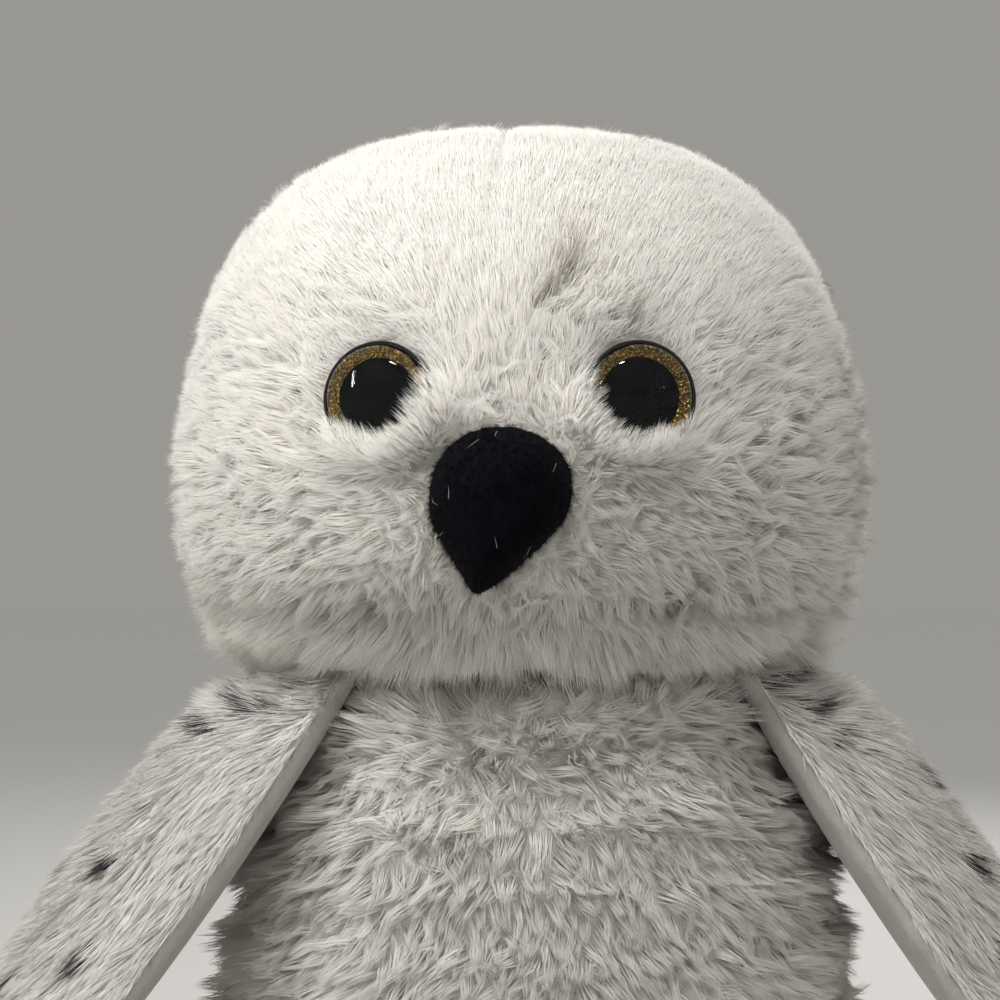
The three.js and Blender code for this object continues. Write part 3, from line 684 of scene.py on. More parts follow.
def copies_along(model, lines, radii, tones, ups):
    """Copies of a lock along lines of three points: corners, loops, loop starts and map places."""
    model_places, model_faces = model
    numbers = np.arange(len(lines))[:, None]
    way = unit(np.stack([lines[:, 1] - lines[:, 0], lines[:, 2] - lines[:, 0], lines[:, 2] - lines[:, 1]], 1))
    side = unit(np.cross(way, ups[:, None, :]))
    other = np.cross(way, side)
    level = np.rint(model_places[:, 2] * 2).astype(int)
    across = model_places[:, 0][None, :, None] * radii[:, None, None]
    out = model_places[:, 1][None, :, None] * radii[:, None, None]
    places = lines[:, level] + across * side[:, level] + out * other[:, level]
    starts = np.cumsum([0] + [len(f) for f in model_faces])
    loop = np.concatenate(model_faces)
    loops = numbers * len(model_places) + loop[None]
    u = (np.floor(tones * TONES)[:, None] + 0.5 + TONE_HALF_WIDTH * model_places[loop, 0][None]) / TONES
    v = np.broadcast_to(model_places[loop, 2][None] * (1 - 2 * MAP_MARGIN) + MAP_MARGIN, u.shape)
    loop_starts = numbers * starts[-1] + starts[:-1]
    return places.reshape(-1, 3), loops.ravel(), loop_starts.ravel(), np.stack([u, v], -1)


OWN_SHADING = 0.2  # the share of a lock's own roundness in how it is shaded


def mesh_of_locks(name, lines, radii, tones, ups, bent, finish=white_pile):
    """One piece with a lock along each line: a bent one where bent is true, else a straight one."""
    sets = []
    for model, chosen in ((STRAIGHT, ~bent), (BENT, bent)):
        sets.append(copies_along(model, lines[chosen], radii[chosen], tones[chosen], ups[chosen]))
    corners = np.concatenate([s[0] for s in sets])
    loops = np.concatenate([sets[0][1], sets[1][1] + len(sets[0][0])])
    face_starts = np.concatenate([sets[0][2], sets[1][2] + len(sets[0][1])])
    mesh = bpy.data.meshes.new(name)
    mesh.vertices.add(len(corners))
    mesh.vertices.foreach_set("co", corners.ravel())
    mesh.loops.add(len(loops))
    mesh.loops.foreach_set("vertex_index", loops.astype(np.int32))
    mesh.polygons.add(len(face_starts))
    mesh.polygons.foreach_set("loop_start", face_starts.astype(np.int32))
    mesh.update(calc_edges=True)
    mesh.polygons.foreach_set("use_smooth", np.ones(len(face_starts), bool))
    own = np.empty(len(corners) * 3)
    mesh.vertex_normals.foreach_get("vector", own)
    up = np.concatenate([
        np.repeat(ups[chosen], len(model[0]), 0) for model, chosen in ((STRAIGHT, ~bent), (BENT, bent))
    ])
    mesh.normals_split_custom_set_from_vertices(unit(own.reshape(-1, 3) * OWN_SHADING + up))
    layer = mesh.uv_layers.new(name="OFBake")
    map_places = np.concatenate([s[3].reshape(-1, 2) for s in sets])
    layer.uv.foreach_set("vector", map_places.astype(np.float32).ravel())
    piece = bpy.data.objects.new(name, mesh)
    bpy.context.scene.collection.objects.link(piece)
    piece.data.materials.append(finish)
    return piece


def scattered(skin, density):
    """Random roots on a skin and their outward directions; density(places, ups) is per square metre."""
    mesh = skin.data
    mesh.calc_loop_triangles()
    corners = np.empty(len(mesh.loop_triangles) * 3, np.int32)
    mesh.loop_triangles.foreach_get("vertices", corners)
    corners = corners.reshape(-1, 3)
    places, ups = places_of(skin)[corners], ups_of(skin)[corners]
    area = np.linalg.norm(np.cross(places[:, 1] - places[:, 0], places[:, 2] - places[:, 0]), axis=1) / 2
    count = random.poisson(area * density(places.mean(1), unit(ups.mean(1))))
    face = np.repeat(np.arange(len(corners)), count)
    share = random.random((len(face), 2))
    over = share.sum(1) > 1
    share[over] = 1 - share[over]
    share = np.column_stack([1 - share.sum(1), share])[:, None, :]
    roots = dot(share, places[face].transpose(0, 2, 1))
    return roots, unit(dot(share, ups[face].transpose(0, 2, 1)))


def along_skin(vectors, ups):
    """The part of each vector that lies along the skin, at length 1."""
    return unit(vectors - dot(vectors, ups)[:, None] * ups)


ROOT_SUNK = 0.5 * MM
SHAG_SIZE = 7 * MM
LENGTH_STRAY = 0.12
LENGTH_LIMITS = (0.6, 1.4)
LIFT_LIMITS = (0.03, 1.5)  # radians from the skin
MIDDLE_PULL = 0.35  # how much of a tip's pull to its tuft reaches the middle of a lock


def comb_locks(roots, ups, comb, look, swirl_size, seed):
    """Lines of three points for locks that leave the skin at look's lift, bend over and gather in tufts."""
    tuft_count = max(1, int(len(roots) / look["per_tuft"]))
    chosen = random.choice(len(roots), tuft_count, replace=False)
    tree = KDTree(tuft_count)
    for index, root in enumerate(roots[chosen]):
        tree.insert(root, index)
    tree.balance()
    tuft = np.array([tree.find(root)[1] for root in roots])
    each = np.ones(len(roots))
    swirl = cloudy(roots[chosen], swirl_size, seed) * (look["swirl"] * each)[chosen, None]
    own = random.normal(0, 1, (tuft_count, 3)) * (look["tuft_stray"] * each)[chosen, None]
    stray = random.normal(0, 1, roots.shape) * look["stray"]
    way = along_skin(comb + (swirl + own)[tuft] + stray, ups)
    tuft_lift = random.normal(0, 1, tuft_count)[tuft] * look["lift_stray"]
    length = look["length"] * (1 + random.normal(0, LENGTH_STRAY, len(roots))).clip(*LENGTH_LIMITS)
    length *= 1 + look["shag"] * cloudy(roots, SHAG_SIZE, seed + 10)[:, 0] * 2
    lines = [roots - ups * ROOT_SUNK]
    for lift in (look["lift"], look["lift"] * look["droop"]):
        angle = np.clip(lift + tuft_lift, *LIFT_LIMITS)[:, None]
        lines.append(lines[-1] + (ups * np.sin(angle) + way * np.cos(angle)) * (length[:, None] / 2))
    lines = np.stack(lines, 1)
    lead = lines[chosen][tuft]
    pull = np.array([0, MIDDLE_PULL, 1.0])[None, :, None] * look["gather"].reshape(-1, 1, 1)
    return lines + (lead - lines) * pull


print("growing helpers ready")

# %% [markdown]
# ## Where the pile gives way
# The pile is trimmed round the eyes and the beak. Above each eye it stops at the rim. Below, and towards
# the beak, its tips lie over the dome as a fringe. No lock grows under the beak or under an eye.

# %% Eye sizes
DOME_CROWN = 7.1 * MM  # above the iris
DOME_EDGE = 2.5 * MM
DOME_RADIUS = 10.7 * MM
CLEAR_OF_DOME = 0.35 * MM
RIM_REACH, FRINGE_REACH = 13.0 * MM, 7.1 * MM  # how near to an eye's axis a tip may come
FRINGE_ROOM = 18 * MM  # along the axis from the iris


def dome_height(away):
    """How far the dome stands above the iris at this distance from the eye's axis."""
    share = np.clip(away / DOME_RADIUS, 0, 1)
    return DOME_EDGE + (DOME_CROWN - DOME_EDGE) * np.sqrt(1 - share**2 * 0.96)


def trimmed_at_eyes(lines, roots):
    """Shortens the locks that would lie too far over an eye, and lays the rest on its dome."""
    for side in eyes:
        middle, axis = eyes[side]
        root_away, root_along = from_eye(roots, side)
        tip_away, _ = from_eye(lines[:, 2], side)
        reach = mix(RIM_REACH, FRINGE_REACH, fringe_share(roots, side))
        reach += random.normal(0, 0.8 * MM, len(roots))
        close = (np.abs(root_along) < FRINGE_ROOM) & (root_away < 2 * EYE_RADIUS) & (tip_away < reach)
        share = np.clip((root_away - reach) / np.maximum(root_away - tip_away, 0.1 * MM), 0.12, 1)
        share = np.where(close, share, 1)[:, None, None]
        lines = lines[:, :1] + (lines - lines[:, :1]) * share
        for level in (1, 2):
            away, along = from_eye(lines[:, level], side)
            over = (away < EYE_RADIUS + 0.3 * MM) & (along > -EYE_REACH)
            lift = np.where(over, dome_height(away) + CLEAR_OF_DOME - along, 0).clip(0)
            lines[:, level] += lift[:, None] * axis
    return lines


def tree_of(piece):
    """A search tree over a piece's faces."""
    return BVHTree.FromObject(piece, bpy.context.evaluated_depsgraph_get())


def room_above(roots, ups, tree, reach):
    """How far each root can look straight out before it meets a piece, up to reach."""
    room = np.full(len(roots), reach)
    for index, (root, up) in enumerate(zip(roots, ups)):
        hit = tree.ray_cast(Vector(root), Vector(up), reach)
        if hit[0] is not None:
            room[index] = hit[3]
    return room


def pile_panels(name, lines, look, tones, ups, parts, names):
    """One piece for each panel of a pile, so that none grows too large; parts numbers each lock's panel."""
    bent = random.random(len(lines)) < look["bent"]
    made = []
    for number, part in enumerate(names):
        own = parts == number
        radii = look["radius"][own]
        piece = mesh_of_locks(f"{name}_{part}", lines[own], radii, tones[own], ups[own], bent[own])
        made.append(piece)
        triangles = sum(len(p.vertices) - 2 for p in piece.data.polygons)
        print(piece.name, int(own.sum()), "locks,", triangles, "triangles")
    return made


# %% [markdown]
# ## Beak
# The beak is a teardrop of near-black velour, stuffed hard, that leans a little to the owl's right. It
# could be sculpted from a ball. Here it starts from its solid, whose place and size are known, and is
# drawn out to a point. Very short hairs give the velour its soft edge, and a few pale hairs of the face
# cling to it.

# %% Beak skin
beak = soft_form("beak", ["beak_cover"], voxel=0.9, rounds=5, hull=True)
stuffed(beak, cap=0.5 * MM)
modified(beak, "SUBSURF", levels=1, render_levels=1)
BEAK_LOW, BEAK_HIGH = places_of(beak).min(0), places_of(beak).max(0)
BEAK_DROP = 3.0 * MM


def lean_beak(piece):
    """Draws the beak, or what fills it, out to a point, down and to the owl's right."""
    places = places_of(piece)
    down = ((BEAK_HIGH[2] - places[:, 2]) / (BEAK_HIGH[2] - BEAK_LOW[2])).clip(0, 1)
    middle = (BEAK_LOW[0] + BEAK_HIGH[0]) / 2
    narrow = 1.04 - 0.30 * smoothstep(0.55, 1.0, down)
    places[:, 0] = middle + (places[:, 0] - middle) * narrow - (1.5 + 3.2 * down**2) * MM
    places[:, 2] -= BEAK_DROP * down**3
    move_to(piece, places)


lean_beak(beak)
beak.data.materials.append(black_velour)
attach(beak, "head")
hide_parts("beak_cover")
beak_tree = tree_of(beak)
print("beak:", len(beak.data.polygons), "faces")

# %% Beak nap and lint
NAP_DENSITY = 9e6  # hairs per square metre
LINT_COUNT = 8
LINT_HEIGHT = 0.9 * MM


def grow_nap():
    """The short black nap of the velour, combed down the beak."""
    roots, ups = scattered(beak, lambda places, ups: NAP_DENSITY * (places[:, 1] < BEAK_MIDDLE[1] + 4 * MM))
    size = len(roots)
    look = {
        "length": np.full(size, 1.7 * MM), "lift": np.full(size, 1.0), "droop": np.full(size, 0.75),
        "gather": np.full(size, 0.3), "shag": 0.1, "per_tuft": 8, "swirl": 0.5, "stray": 0.3,
        "tuft_stray": 0.3, "lift_stray": 0.2,
    }
    comb = np.tile((0, 0, -1.0), (size, 1))
    lines = comb_locks(roots, ups, comb, look, 9 * MM, 12)
    radii, tones, bent = np.full(size, 0.06 * MM), np.full(size, 0.5), np.zeros(size, bool)
    nap = mesh_of_locks("beak_nap", lines, radii, tones, ups, bent, black_velour)
    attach(nap, "head")
    return nap


def drop_lint():
    """A few pale hairs of the face's pile, that cling to the nap."""
    roots, ups = scattered(beak, lambda places, ups: 3e6 * (places[:, 1] < BEAK_MIDDLE[1] - 1 * MM))
    chosen = random.choice(len(roots), LINT_COUNT, replace=False)
    roots, ups = roots[chosen] + ups[chosen] * LINT_HEIGHT, ups[chosen]
    way = along_skin(random.normal(0, 1, (LINT_COUNT, 3)), ups)
    turn = np.cross(ups, way) * random.uniform(-0.6, 0.6, (LINT_COUNT, 1))
    reach = random.uniform(1.0, 2.4, (LINT_COUNT, 1)) * MM
    lines = np.stack([roots, roots + way * reach, roots + (way * 1.8 + turn) * reach], 1)
    lines[:, 2] -= ups * (reach * 0.18)
    radii, tones, bent = np.full(LINT_COUNT, 0.028 * MM), np.full(LINT_COUNT, 0.7), np.ones(LINT_COUNT, bool)
    lint = mesh_of_locks("beak_lint", lines, radii, tones, ups, bent)
    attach(lint, "head")
    return lint


print("nap:", len(grow_nap().data.polygons), "faces; lint:", len(drop_lint().data.polygons), "faces")

# %% [markdown]
# ## Head pile
# The whole face is combed away from the beak: up over the forehead and the crown, sideways on the cheeks
# and down at the chin. On the forehead the pile lies flat and looks smooth, parted by the crown seam.
# Elsewhere it stands up and gathers in tufts. Round each eye, on the side of the beak, it lies over the
# rim as a fringe. At the lower edge it is long and even and hangs over the neck, so that no gap shows
# where the head turns. A few soft patches of the forehead's pile are darker. How the pile is combed,
# how it stands and how dense it is are three functions of a root's place, so that each can be changed by
# itself.

# %% Head pile
# Darker patches of the forehead's pile, each in pixels of the picture: middle, half width and half length,
# lean in radians, strength
DARK_PATCHES = (
    ((573, 247), (26, 40), 0.55, 1.0),
    ((553, 280), (22, 22), 0.62, 0.9),
    ((640, 300), (26, 17), 0.3, 0.4),
)


# Heights in metres between which the pile changes
HEM = (0.188, 0.179)  # it grows longer, and hangs over the neck
BROW_PILE = (0.222, 0.272)  # from fluffy to smooth
CHIN_PILE = (0.204, 0.186)
PARTING_PILE = (0.262, 0.275)
HEAD_BEHIND = (-0.016, 0.018)  # along Y, from the face to the back
PARTING_WIDTH = 1.6 * MM
FACE_SIDE = (0.030, 0.070)  # to the owl's right, where the face is brushed smoother
# Locks per square metre
FACE_DENSITY, BEHIND_DENSITY = 3.65e6, 1.0e6
HEM_DENSITY = 2.0e6
FRINGE_DENSITY, RIM_DENSITY = 9e6, 16e6
EYE_CLEAR = 10.0 * MM


def brow_share(places):
    """0 on the fluffy face, 1 on the smooth forehead and crown."""
    wavy = cloudy(places, 18 * MM, 8)[:, 0] * 12 * MM
    return smoothstep(*BROW_PILE, places[:, 2] + wavy)


def head_comb(roots):
    """The way that the head's pile is combed at each root."""
    fan = unit(roots - (BEAK_MIDDLE - FACE_AXIS * 6 * MM))
    outwards = roots - HEAD_MIDDLE
    outwards[:, 2] = 0
    down = unit(outwards) * 0.45 + np.array([0, 0, -1.0])
    behind = smoothstep(-0.030, 0.050, roots[:, 1])
    comb = mix(fan, down, behind[:, None])
    across = head_sideways(roots) + SEAM_ASIDE
    parting = np.exp(-((across / PARTING_WIDTH) ** 2)) * smoothstep(*PARTING_PILE, roots[:, 2])
    comb += (np.sign(across) * parting * 0.3)[:, None] * FACE_RIGHT
    for side in eyes:
        away, along = from_eye(roots, side)
        close = (1 - smoothstep(12.5 * MM, 18 * MM, away)) * (np.abs(along) < FRINGE_ROOM)
        comb += unit(eyes[side][0] - roots) * (2.2 * close * fringe_share(roots, side))[:, None]
    return comb


def head_look(roots):
    """Length, lift and gathering of the head's locks: fluffy, smooth on the brow, long at the hem."""
    behind = smoothstep(*HEAD_BEHIND, roots[:, 1])
    brushed = 0.4 * smoothstep(*FACE_SIDE, -head_sideways(roots))
    face = (1 - brow_share(roots)) * (1 - behind) * (1 - brushed)
    face = np.maximum(face, 0.85 * smoothstep(-0.034, 0.010, roots[:, 1]))
    chin = smoothstep(*CHIN_PILE, roots[:, 2])
    hem = smoothstep(*HEM, roots[:, 2])
    rim = 1 - smoothstep(13 * MM, 17 * MM, near_eyes(roots))
    return {
        "length": mix(6.5 * MM, 7.6 * MM, behind) * (1 - 0.1 * chin) * (1 + 0.5 * hem),
        "lift": mix(0.30, 1.18, face),
        "droop": mix(0.60, 0.80, face),
        "gather": (mix(0.08, 0.44, face) + 0.10 * behind) * (1 - 0.7 * rim) * (1 - 0.6 * hem),
        "radius": mix(mix(0.139 * MM, 0.119 * MM, face), 0.202 * MM, behind),
        "bent": 0.05 * face,
        "shag": mix(0.04, 0.18, face) + 0.3 * chin * (1 - behind),
        "per_tuft": 26,
        "swirl": mix(0.22, 0.9, face) * (1 - 0.7 * hem),
        "stray": (0.14 + 0.22 * rim)[:, None],
        "tuft_stray": mix(0.03, 0.6, face) * (1 - 0.6 * rim) * (1 - 0.7 * hem),
        "lift_stray": mix(0.04, 0.16, face) * (1 - 0.6 * hem),
    }


def head_density(places, ups):
    """Locks per square metre: fewer behind, more at the hem and the eyes' fringe, none under the eyes."""
    behind = smoothstep(*HEAD_BEHIND, places[:, 1])
    density = mix(FACE_DENSITY + HEM_DENSITY * smoothstep(*HEM, places[:, 2]), BEHIND_DENSITY, behind)
    for side in eyes:
        away, along = from_eye(places, side)
        close = (1 - smoothstep(13.5 * MM, 17 * MM, away)) * (np.abs(along) < FRINGE_ROOM)
        rim = 1 - smoothstep(13.0 * MM, 15.0 * MM, away)
        density += close * (FRINGE_DENSITY + RIM_DENSITY * rim) * fringe_share(places, side)
    return density * (near_eyes(places) > EYE_CLEAR)


TORN_SIZE = 2.2 * MM
TORN_PIXELS = 5


def spotted(tones, tips, ups, spots, dark, seed):
    """Darkens the locks whose tips the picture shows in a spot, most at its middle, with a torn edge."""
    seen = in_picture(tips)
    torn = cloudy(tips, TORN_SIZE, seed)[:, :2] * TORN_PIXELS
    facing = ups[:, 1] < 0.35  # turned to the camera, or nearly so
    for middle, (half_width, half_length), lean, strength in spots:
        way = np.array([np.sin(lean), -np.cos(lean)])
        offset = seen + torn - np.array(middle)
        along = offset @ way
        aside = offset @ np.array([way[1], -way[0]])
        near = np.exp(-((aside / half_width) ** 2) - (along / half_length) ** 2)
        tones = np.where(facing & (random.random(len(tones)) < near * strength), mix(*dark, near), tones)
    return tones


BEAK_SURROUNDINGS = 26 * MM
BESIDE_BEAK = (1.0 * MM, 4.5 * MM)


def beside_beak(roots):
    """1 for the roots right beside the beak, where the pile stands up and leans on it, and 0 elsewhere."""
    share = np.zeros(len(roots))
    for index in np.flatnonzero(np.linalg.norm(roots - BEAK_MIDDLE, axis=1) < BEAK_SURROUNDINGS):
        share[index] = 1 - smoothstep(*BESIDE_BEAK, beak_tree.find_nearest(Vector(roots[index]))[3])
    return share * (random.random(len(roots)) < 0.7)


NEAR_BEAK = 30 * MM
BEAK_ROOM = 15 * MM  # a root that looks straight out on the beak within this is under it
RIM_CLEAR, FRINGE_CLEAR = 12.9 * MM, 11.3 * MM  # how near to an eye's axis a root may be


def grow_head():
    """All of the head's pile, in panels as the head is sewn."""
    roots, ups = scattered(head_skin, head_density)
    near = np.flatnonzero(np.linalg.norm(roots - BEAK_MIDDLE, axis=1) < NEAR_BEAK)
    fringe = np.maximum(fringe_share(roots, "left"), fringe_share(roots, "right"))
    keep = near_eyes(roots) > mix(RIM_CLEAR, FRINGE_CLEAR, fringe)
    keep[near] &= room_above(roots[near], ups[near], beak_tree, BEAK_ROOM + 1 * MM) > BEAK_ROOM
    roots, ups = roots[keep], ups[keep]
    look = head_look(roots)
    comb = head_comb(roots)
    beside = beside_beak(roots)
    look["lift"] = mix(look["lift"], 1.42, beside)
    look["length"] *= 1 + 0.25 * beside
    comb += unit(BEAK_MIDDLE - roots) * (beside * 3)[:, None]
    lines = comb_locks(roots, ups, comb, look, 22 * MM, 3)
    lines = trimmed_at_eyes(lines, roots)
    tones = random.uniform(*WHITE_TONES, len(roots))
    tones = spotted(tones, lines[:, 2], ups, DARK_PATCHES, DARK_PATCH_TONES, 21)
    behind = roots[:, 1] > -8 * MM
    left = head_sideways(roots) > 0
    high = roots[:, 2] > 0.236
    part = np.select([behind & left, behind, high & left, high, left], [0, 1, 2, 3, 4], 5)
    names = ("back_left", "back_right", "crown_left", "crown_right", "cheek_left", "cheek_right")
    return pile_panels("head_pile", lines, look, tones, ups, part, names)


head_pile = grow_head()

# %% [markdown]
# ## Body pile
# The chest and belly have the longest pile. It is combed down and fans out to the sides, and lies in
# loose rows that overhang each other. A sine wave over the height lifts and lengthens it row by row, bent
# by a cloudy pattern so that no row runs straight. Round the neck it turns up and meets the head's pile,
# and in the throat it lies flat, and most of its locks there take a darker tone as painted shade.

# %% Body pile
ROW_SPACING = 17 * MM
BODY_BEHIND = (-0.02, 0.02)  # along Y, from the chest to the back
# Heights in metres between which the pile changes
SHOULDER = (0.150, 0.168)
BELLY = (0.085, 0.105)  # up to the chest
# Locks per square metre
BELLY_DENSITY, CHEST_DENSITY, BODY_BEHIND_DENSITY = 1.9e6, 3.3e6, 0.8e6


def body_comb(roots):
    """Down, and out to the sides."""
    outwards = roots * np.array([1, 1, 0])
    fan = np.clip(roots[:, 0] / (60 * MM), -1, 1) * 0.55
    comb = unit(outwards) * 0.15 + np.array([0, 0, -1.0])
    comb[:, 0] += fan * (roots[:, 1] < 0)
    comb[:, 2] += mix(0.9, 1.7, roots[:, 1] < -0.02) * smoothstep(0.153, 0.168, roots[:, 2])
    return comb


def body_look(roots):
    """Length, lift and gathering of the body's locks, in waves down the chest."""
    behind = smoothstep(*BODY_BEHIND, roots[:, 1])
    shoulder = smoothstep(*SHOULDER, roots[:, 2])
    bend = cloudy(roots, 34 * MM, 5)[:, 0] * 9 * MM
    wave = np.sin((roots[:, 2] + bend) / ROW_SPACING * 2 * np.pi)
    low = 1 - smoothstep(0.004, 0.02, roots[:, 2])
    throat = throat_share(roots)
    length = mix(8.6 * MM, 8.2 * MM, behind) * (1 + 0.2 * wave) * (1 + 0.25 * shoulder)
    return {
        "length": length * (1 - 0.3 * low) * (1 - 0.3 * throat),
        "lift": mix(1.12, 0.95, behind) + 0.3 * wave + 0.15 * shoulder - 0.4 * throat,
        "droop": 0.66 + 0.12 * wave,
        "gather": 0.52 - 0.3 * throat,
        "radius": mix(0.127 * MM, 0.254 * MM, behind),
        "bent": 0.05 * (1 - behind),
        "shag": np.full(len(roots), 0.18),
        "per_tuft": 22, "swirl": 0.85, "stray": 0.14, "tuft_stray": 0.5 - 0.4 * throat, "lift_stray": 0.16,
    }


def body_density(places, ups):
    """Fewer and thicker locks behind, none on the base."""
    behind = smoothstep(*BODY_BEHIND, places[:, 1])
    front = mix(BELLY_DENSITY, CHEST_DENSITY, smoothstep(*BELLY, places[:, 2]))
    return mix(front, BODY_BEHIND_DENSITY, behind) * (ups[:, 2] > -0.75)


print("body pile rules ready")

# %% [markdown]
# ## Wings, tail and feet
# Each limb is a flat bag of two cloths, sewn together round its edge, turned and stuffed. The seam lies
# in a plane. So the stuffed form is cut in two by that plane, and each half gets a wall: pile and lining
# on the wings and the tail, velour above and below on the feet.


# %% Limb frames
def seam_plane(first, second):
    """The plane in which two cloths of a limb meet: a point, and its direction towards the first."""
    a, b = vertices_of(first), vertices_of(second)
    gaps = np.linalg.norm(a[:, None] - b[None], axis=2).min(0)
    rim = b[gaps < 0.5 * MM]
    middle = rim.mean(0)
    normal = np.linalg.svd(rim - middle)[2][2]
    normal *= np.sign((a.mean(0) - middle) @ normal)
    return middle, normal


def limb_axes(joint, middle, normal):
    """A limb's root, the way that it runs, and the way across it."""
    found = next(j for j in frame["joints"] if j["name"] == joint)
    root, across = np.array(found["pos_m"]), unit(np.array(found["axis"]))
    run = np.cross(across, normal)
    run *= np.sign((middle - root) @ run)
    return root, unit(run), across


def cut_half(form, name, middle, normal, inset):
    """The half of a form on one side of its seam, drawn in by inset."""
    half = bpy.data.objects.new(name, form.data.copy())
    bpy.context.scene.collection.objects.link(half)
    rim = np.abs((places_of(half) - middle) @ normal)
    sink(half, inset * smoothstep(0.0, 2.4 * inset + 1.2 * MM, rim))
    ready(half)
    bpy.ops.object.mode_set(mode="EDIT")
    bpy.ops.mesh.select_all(action="SELECT")
    bpy.ops.mesh.bisect(plane_co=middle, plane_no=normal, clear_inner=True)
    bpy.ops.object.mode_set(mode="OBJECT")
    return half


def walled(piece, wall, finish, body, slot, *nodes):
    """Gives a cut half its thickness and its finish, and seats it in the frame."""
    modified(piece, "SOLIDIFY", thickness=wall, offset=-1, use_rim=True)
    piece.data.materials.append(finish)
    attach(piece, body)
    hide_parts(*nodes)


# %% Wing pile
WING_SPOTS_SEEN = {
    "left": (
        ((812, 674), (8, 15), 0.6, 1.1),
        ((838, 706), (9, 16), 0.6, 1.1),
        ((862, 741), (7, 12), 0.6, 1.0),
    ),
    "right": (
        ((268, 683), (7, 10), -0.5, 0.9),
        ((222, 701), (9, 15), -0.4, 1.1),
        ((180, 727), (8, 14), -0.4, 1.1),
        ((250, 700), (5, 12), -0.4, 0.6),
        ((227, 686), (4, 9), -0.3, 0.8),
    ),
}
# Spots out of the picture: along the wing and across it, as shares of its length and half width
SPOT_SHARES = ((0.2, 0.55), (0.3, 0.0), (0.34, -0.6), (0.46, 0.4), (0.5, -0.2), (0.6, 0.7), (0.63, -0.62),
               (0.72, 0.1), (0.8, 0.55), (0.82, -0.35), (0.93, 0.15))
PICTURE_LEFT, PICTURE_RIGHT = 118, 882
SPOT_HALF_WIDTH = 2.3 * MM
SPOT_HALF_LENGTH = 4.0 * MM
SPOT_BACK = 4.5 * MM  # from the tips of a spot's locks back to their roots


PROBE = 60 * MM  # from where a spot is cast on the skin


def wing_spots(side, skin, root, run, across, normal):
    """The middles of a wing's grey spots that the picture doesn't show, on its skin."""
    tree = tree_of(skin)
    spots = []
    places = places_of(skin)
    length = ((places - root) @ run).max()
    half_width = np.abs((places - root) @ across).max()
    for along, aside in SPOT_SHARES:
        start = root + run * length * along + across * half_width * aside * (1 if side == "left" else -1)
        spot = tree.ray_cast(Vector(start + normal * PROBE), Vector(-normal))[0]
        if spot is not None and not PICTURE_LEFT < in_picture(spot)[0] < PICTURE_RIGHT:
            spots.append(np.array(spot))
    return spots


def grow_limb(name, skin, axes, density, length, lift, spots=(), seen_spots=()):
    """A limb's pile, combed along it and out to its edges."""
    root, run, across, normal = axes
    roots, ups = scattered(skin, lambda places, ups: np.full(len(places), density))
    aside = (roots - root) @ across
    half_width = np.abs(aside).max()
    comb = run + across * (aside / half_width * 0.22)[:, None] - normal * 0.1
    rim = smoothstep(0.72, 1.0, np.abs(aside) / half_width)
    along = (roots - root) @ run
    size = len(roots)
    look = {
        "length": length * mix(1.35, 1.0, smoothstep(-4 * MM, 22 * MM, along)) * (1 - 0.15 * rim),
        "lift": mix(0.95, lift, smoothstep(0, 30 * MM, along)) + 0.35 * rim, "droop": np.full(size, 0.55),
        "gather": np.full(size, 0.16), "radius": np.full(size, 0.144 * MM), "bent": 0.03,
        "shag": np.full(size, 0.10),
        "per_tuft": 22, "swirl": 0.45, "stray": 0.13, "tuft_stray": 0.10, "lift_stray": 0.08,
    }
    lines = comb_locks(roots, ups, comb, look, 24 * MM, 6)
    tones = random.uniform(*WHITE_TONES, size)
    combed = along_skin(comb, ups)
    for spot in spots:
        offset = roots + combed * SPOT_BACK - spot
        far = dot(offset, combed)
        near = np.linalg.norm(offset - far[:, None] * combed, axis=1)
        inside = (near / SPOT_HALF_WIDTH) ** 2 + (far / SPOT_HALF_LENGTH) ** 2
        tones = np.where(inside < random.uniform(0.6, 1.25, size), GREY_TONES[1], tones)
    tones = spotted(tones, lines[:, 2], ups, seen_spots, GREY_TONES, 22)
    return pile_panels(name, lines, look, tones, ups, np.zeros(size, int), ("pile",))[0]


SEAM_RISE = 1.8 * MM  # the lining comes round the edge, so its seam lies towards the pile
PILE_WALL = 1.0 * MM
LINING_WALL = 0.8 * MM
WING_DENSITY, WING_PILE, WING_LIFT = 2.7e6, 8.0 * MM, 0.68
TAIL_DENSITY, TAIL_PILE, TAIL_LIFT = 2.2e6, 8.5 * MM, 1.1


def build_wing(side):
    """A wing: skin under the pile, lining, and pile."""
    body = f"{side}_wing"
    middle, normal = seam_plane(f"{body}_cover", f"{body}_lining")
    root, run, across = limb_axes(f"{body}_lift", middle, normal)
    nodes = [f"{body}_cover", f"{body}_lining", f"{body}_filling"]
    form = soft_form(f"{body}_form", nodes, voxel=1.9, rounds=6)
    stuffed(form, cap=1.0 * MM)
    seam = middle + normal * SEAM_RISE
    skin = cut_half(form, f"{body}_skin", seam, normal, 3.0 * MM)
    lining = cut_half(form, f"{body}_lining_cloth", seam, -normal, 0.3 * MM)
    bpy.data.objects.remove(form)
    spots = wing_spots(side, skin, root, run, across, normal)
    axes = (root, run, across, normal)
    pile = grow_limb(body, skin, axes, WING_DENSITY, WING_PILE, WING_LIFT, spots, WING_SPOTS_SEEN[side])
    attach(pile, body)
    walled(skin, PILE_WALL, knit_backing_painted_shade, body, "white_pile", f"{body}_cover")
    walled(lining, LINING_WALL, grey_lining, body, "grey_lining", f"{body}_lining")
    return [skin, lining, pile]


wings = {side: build_wing(side) for side in ("left", "right")}


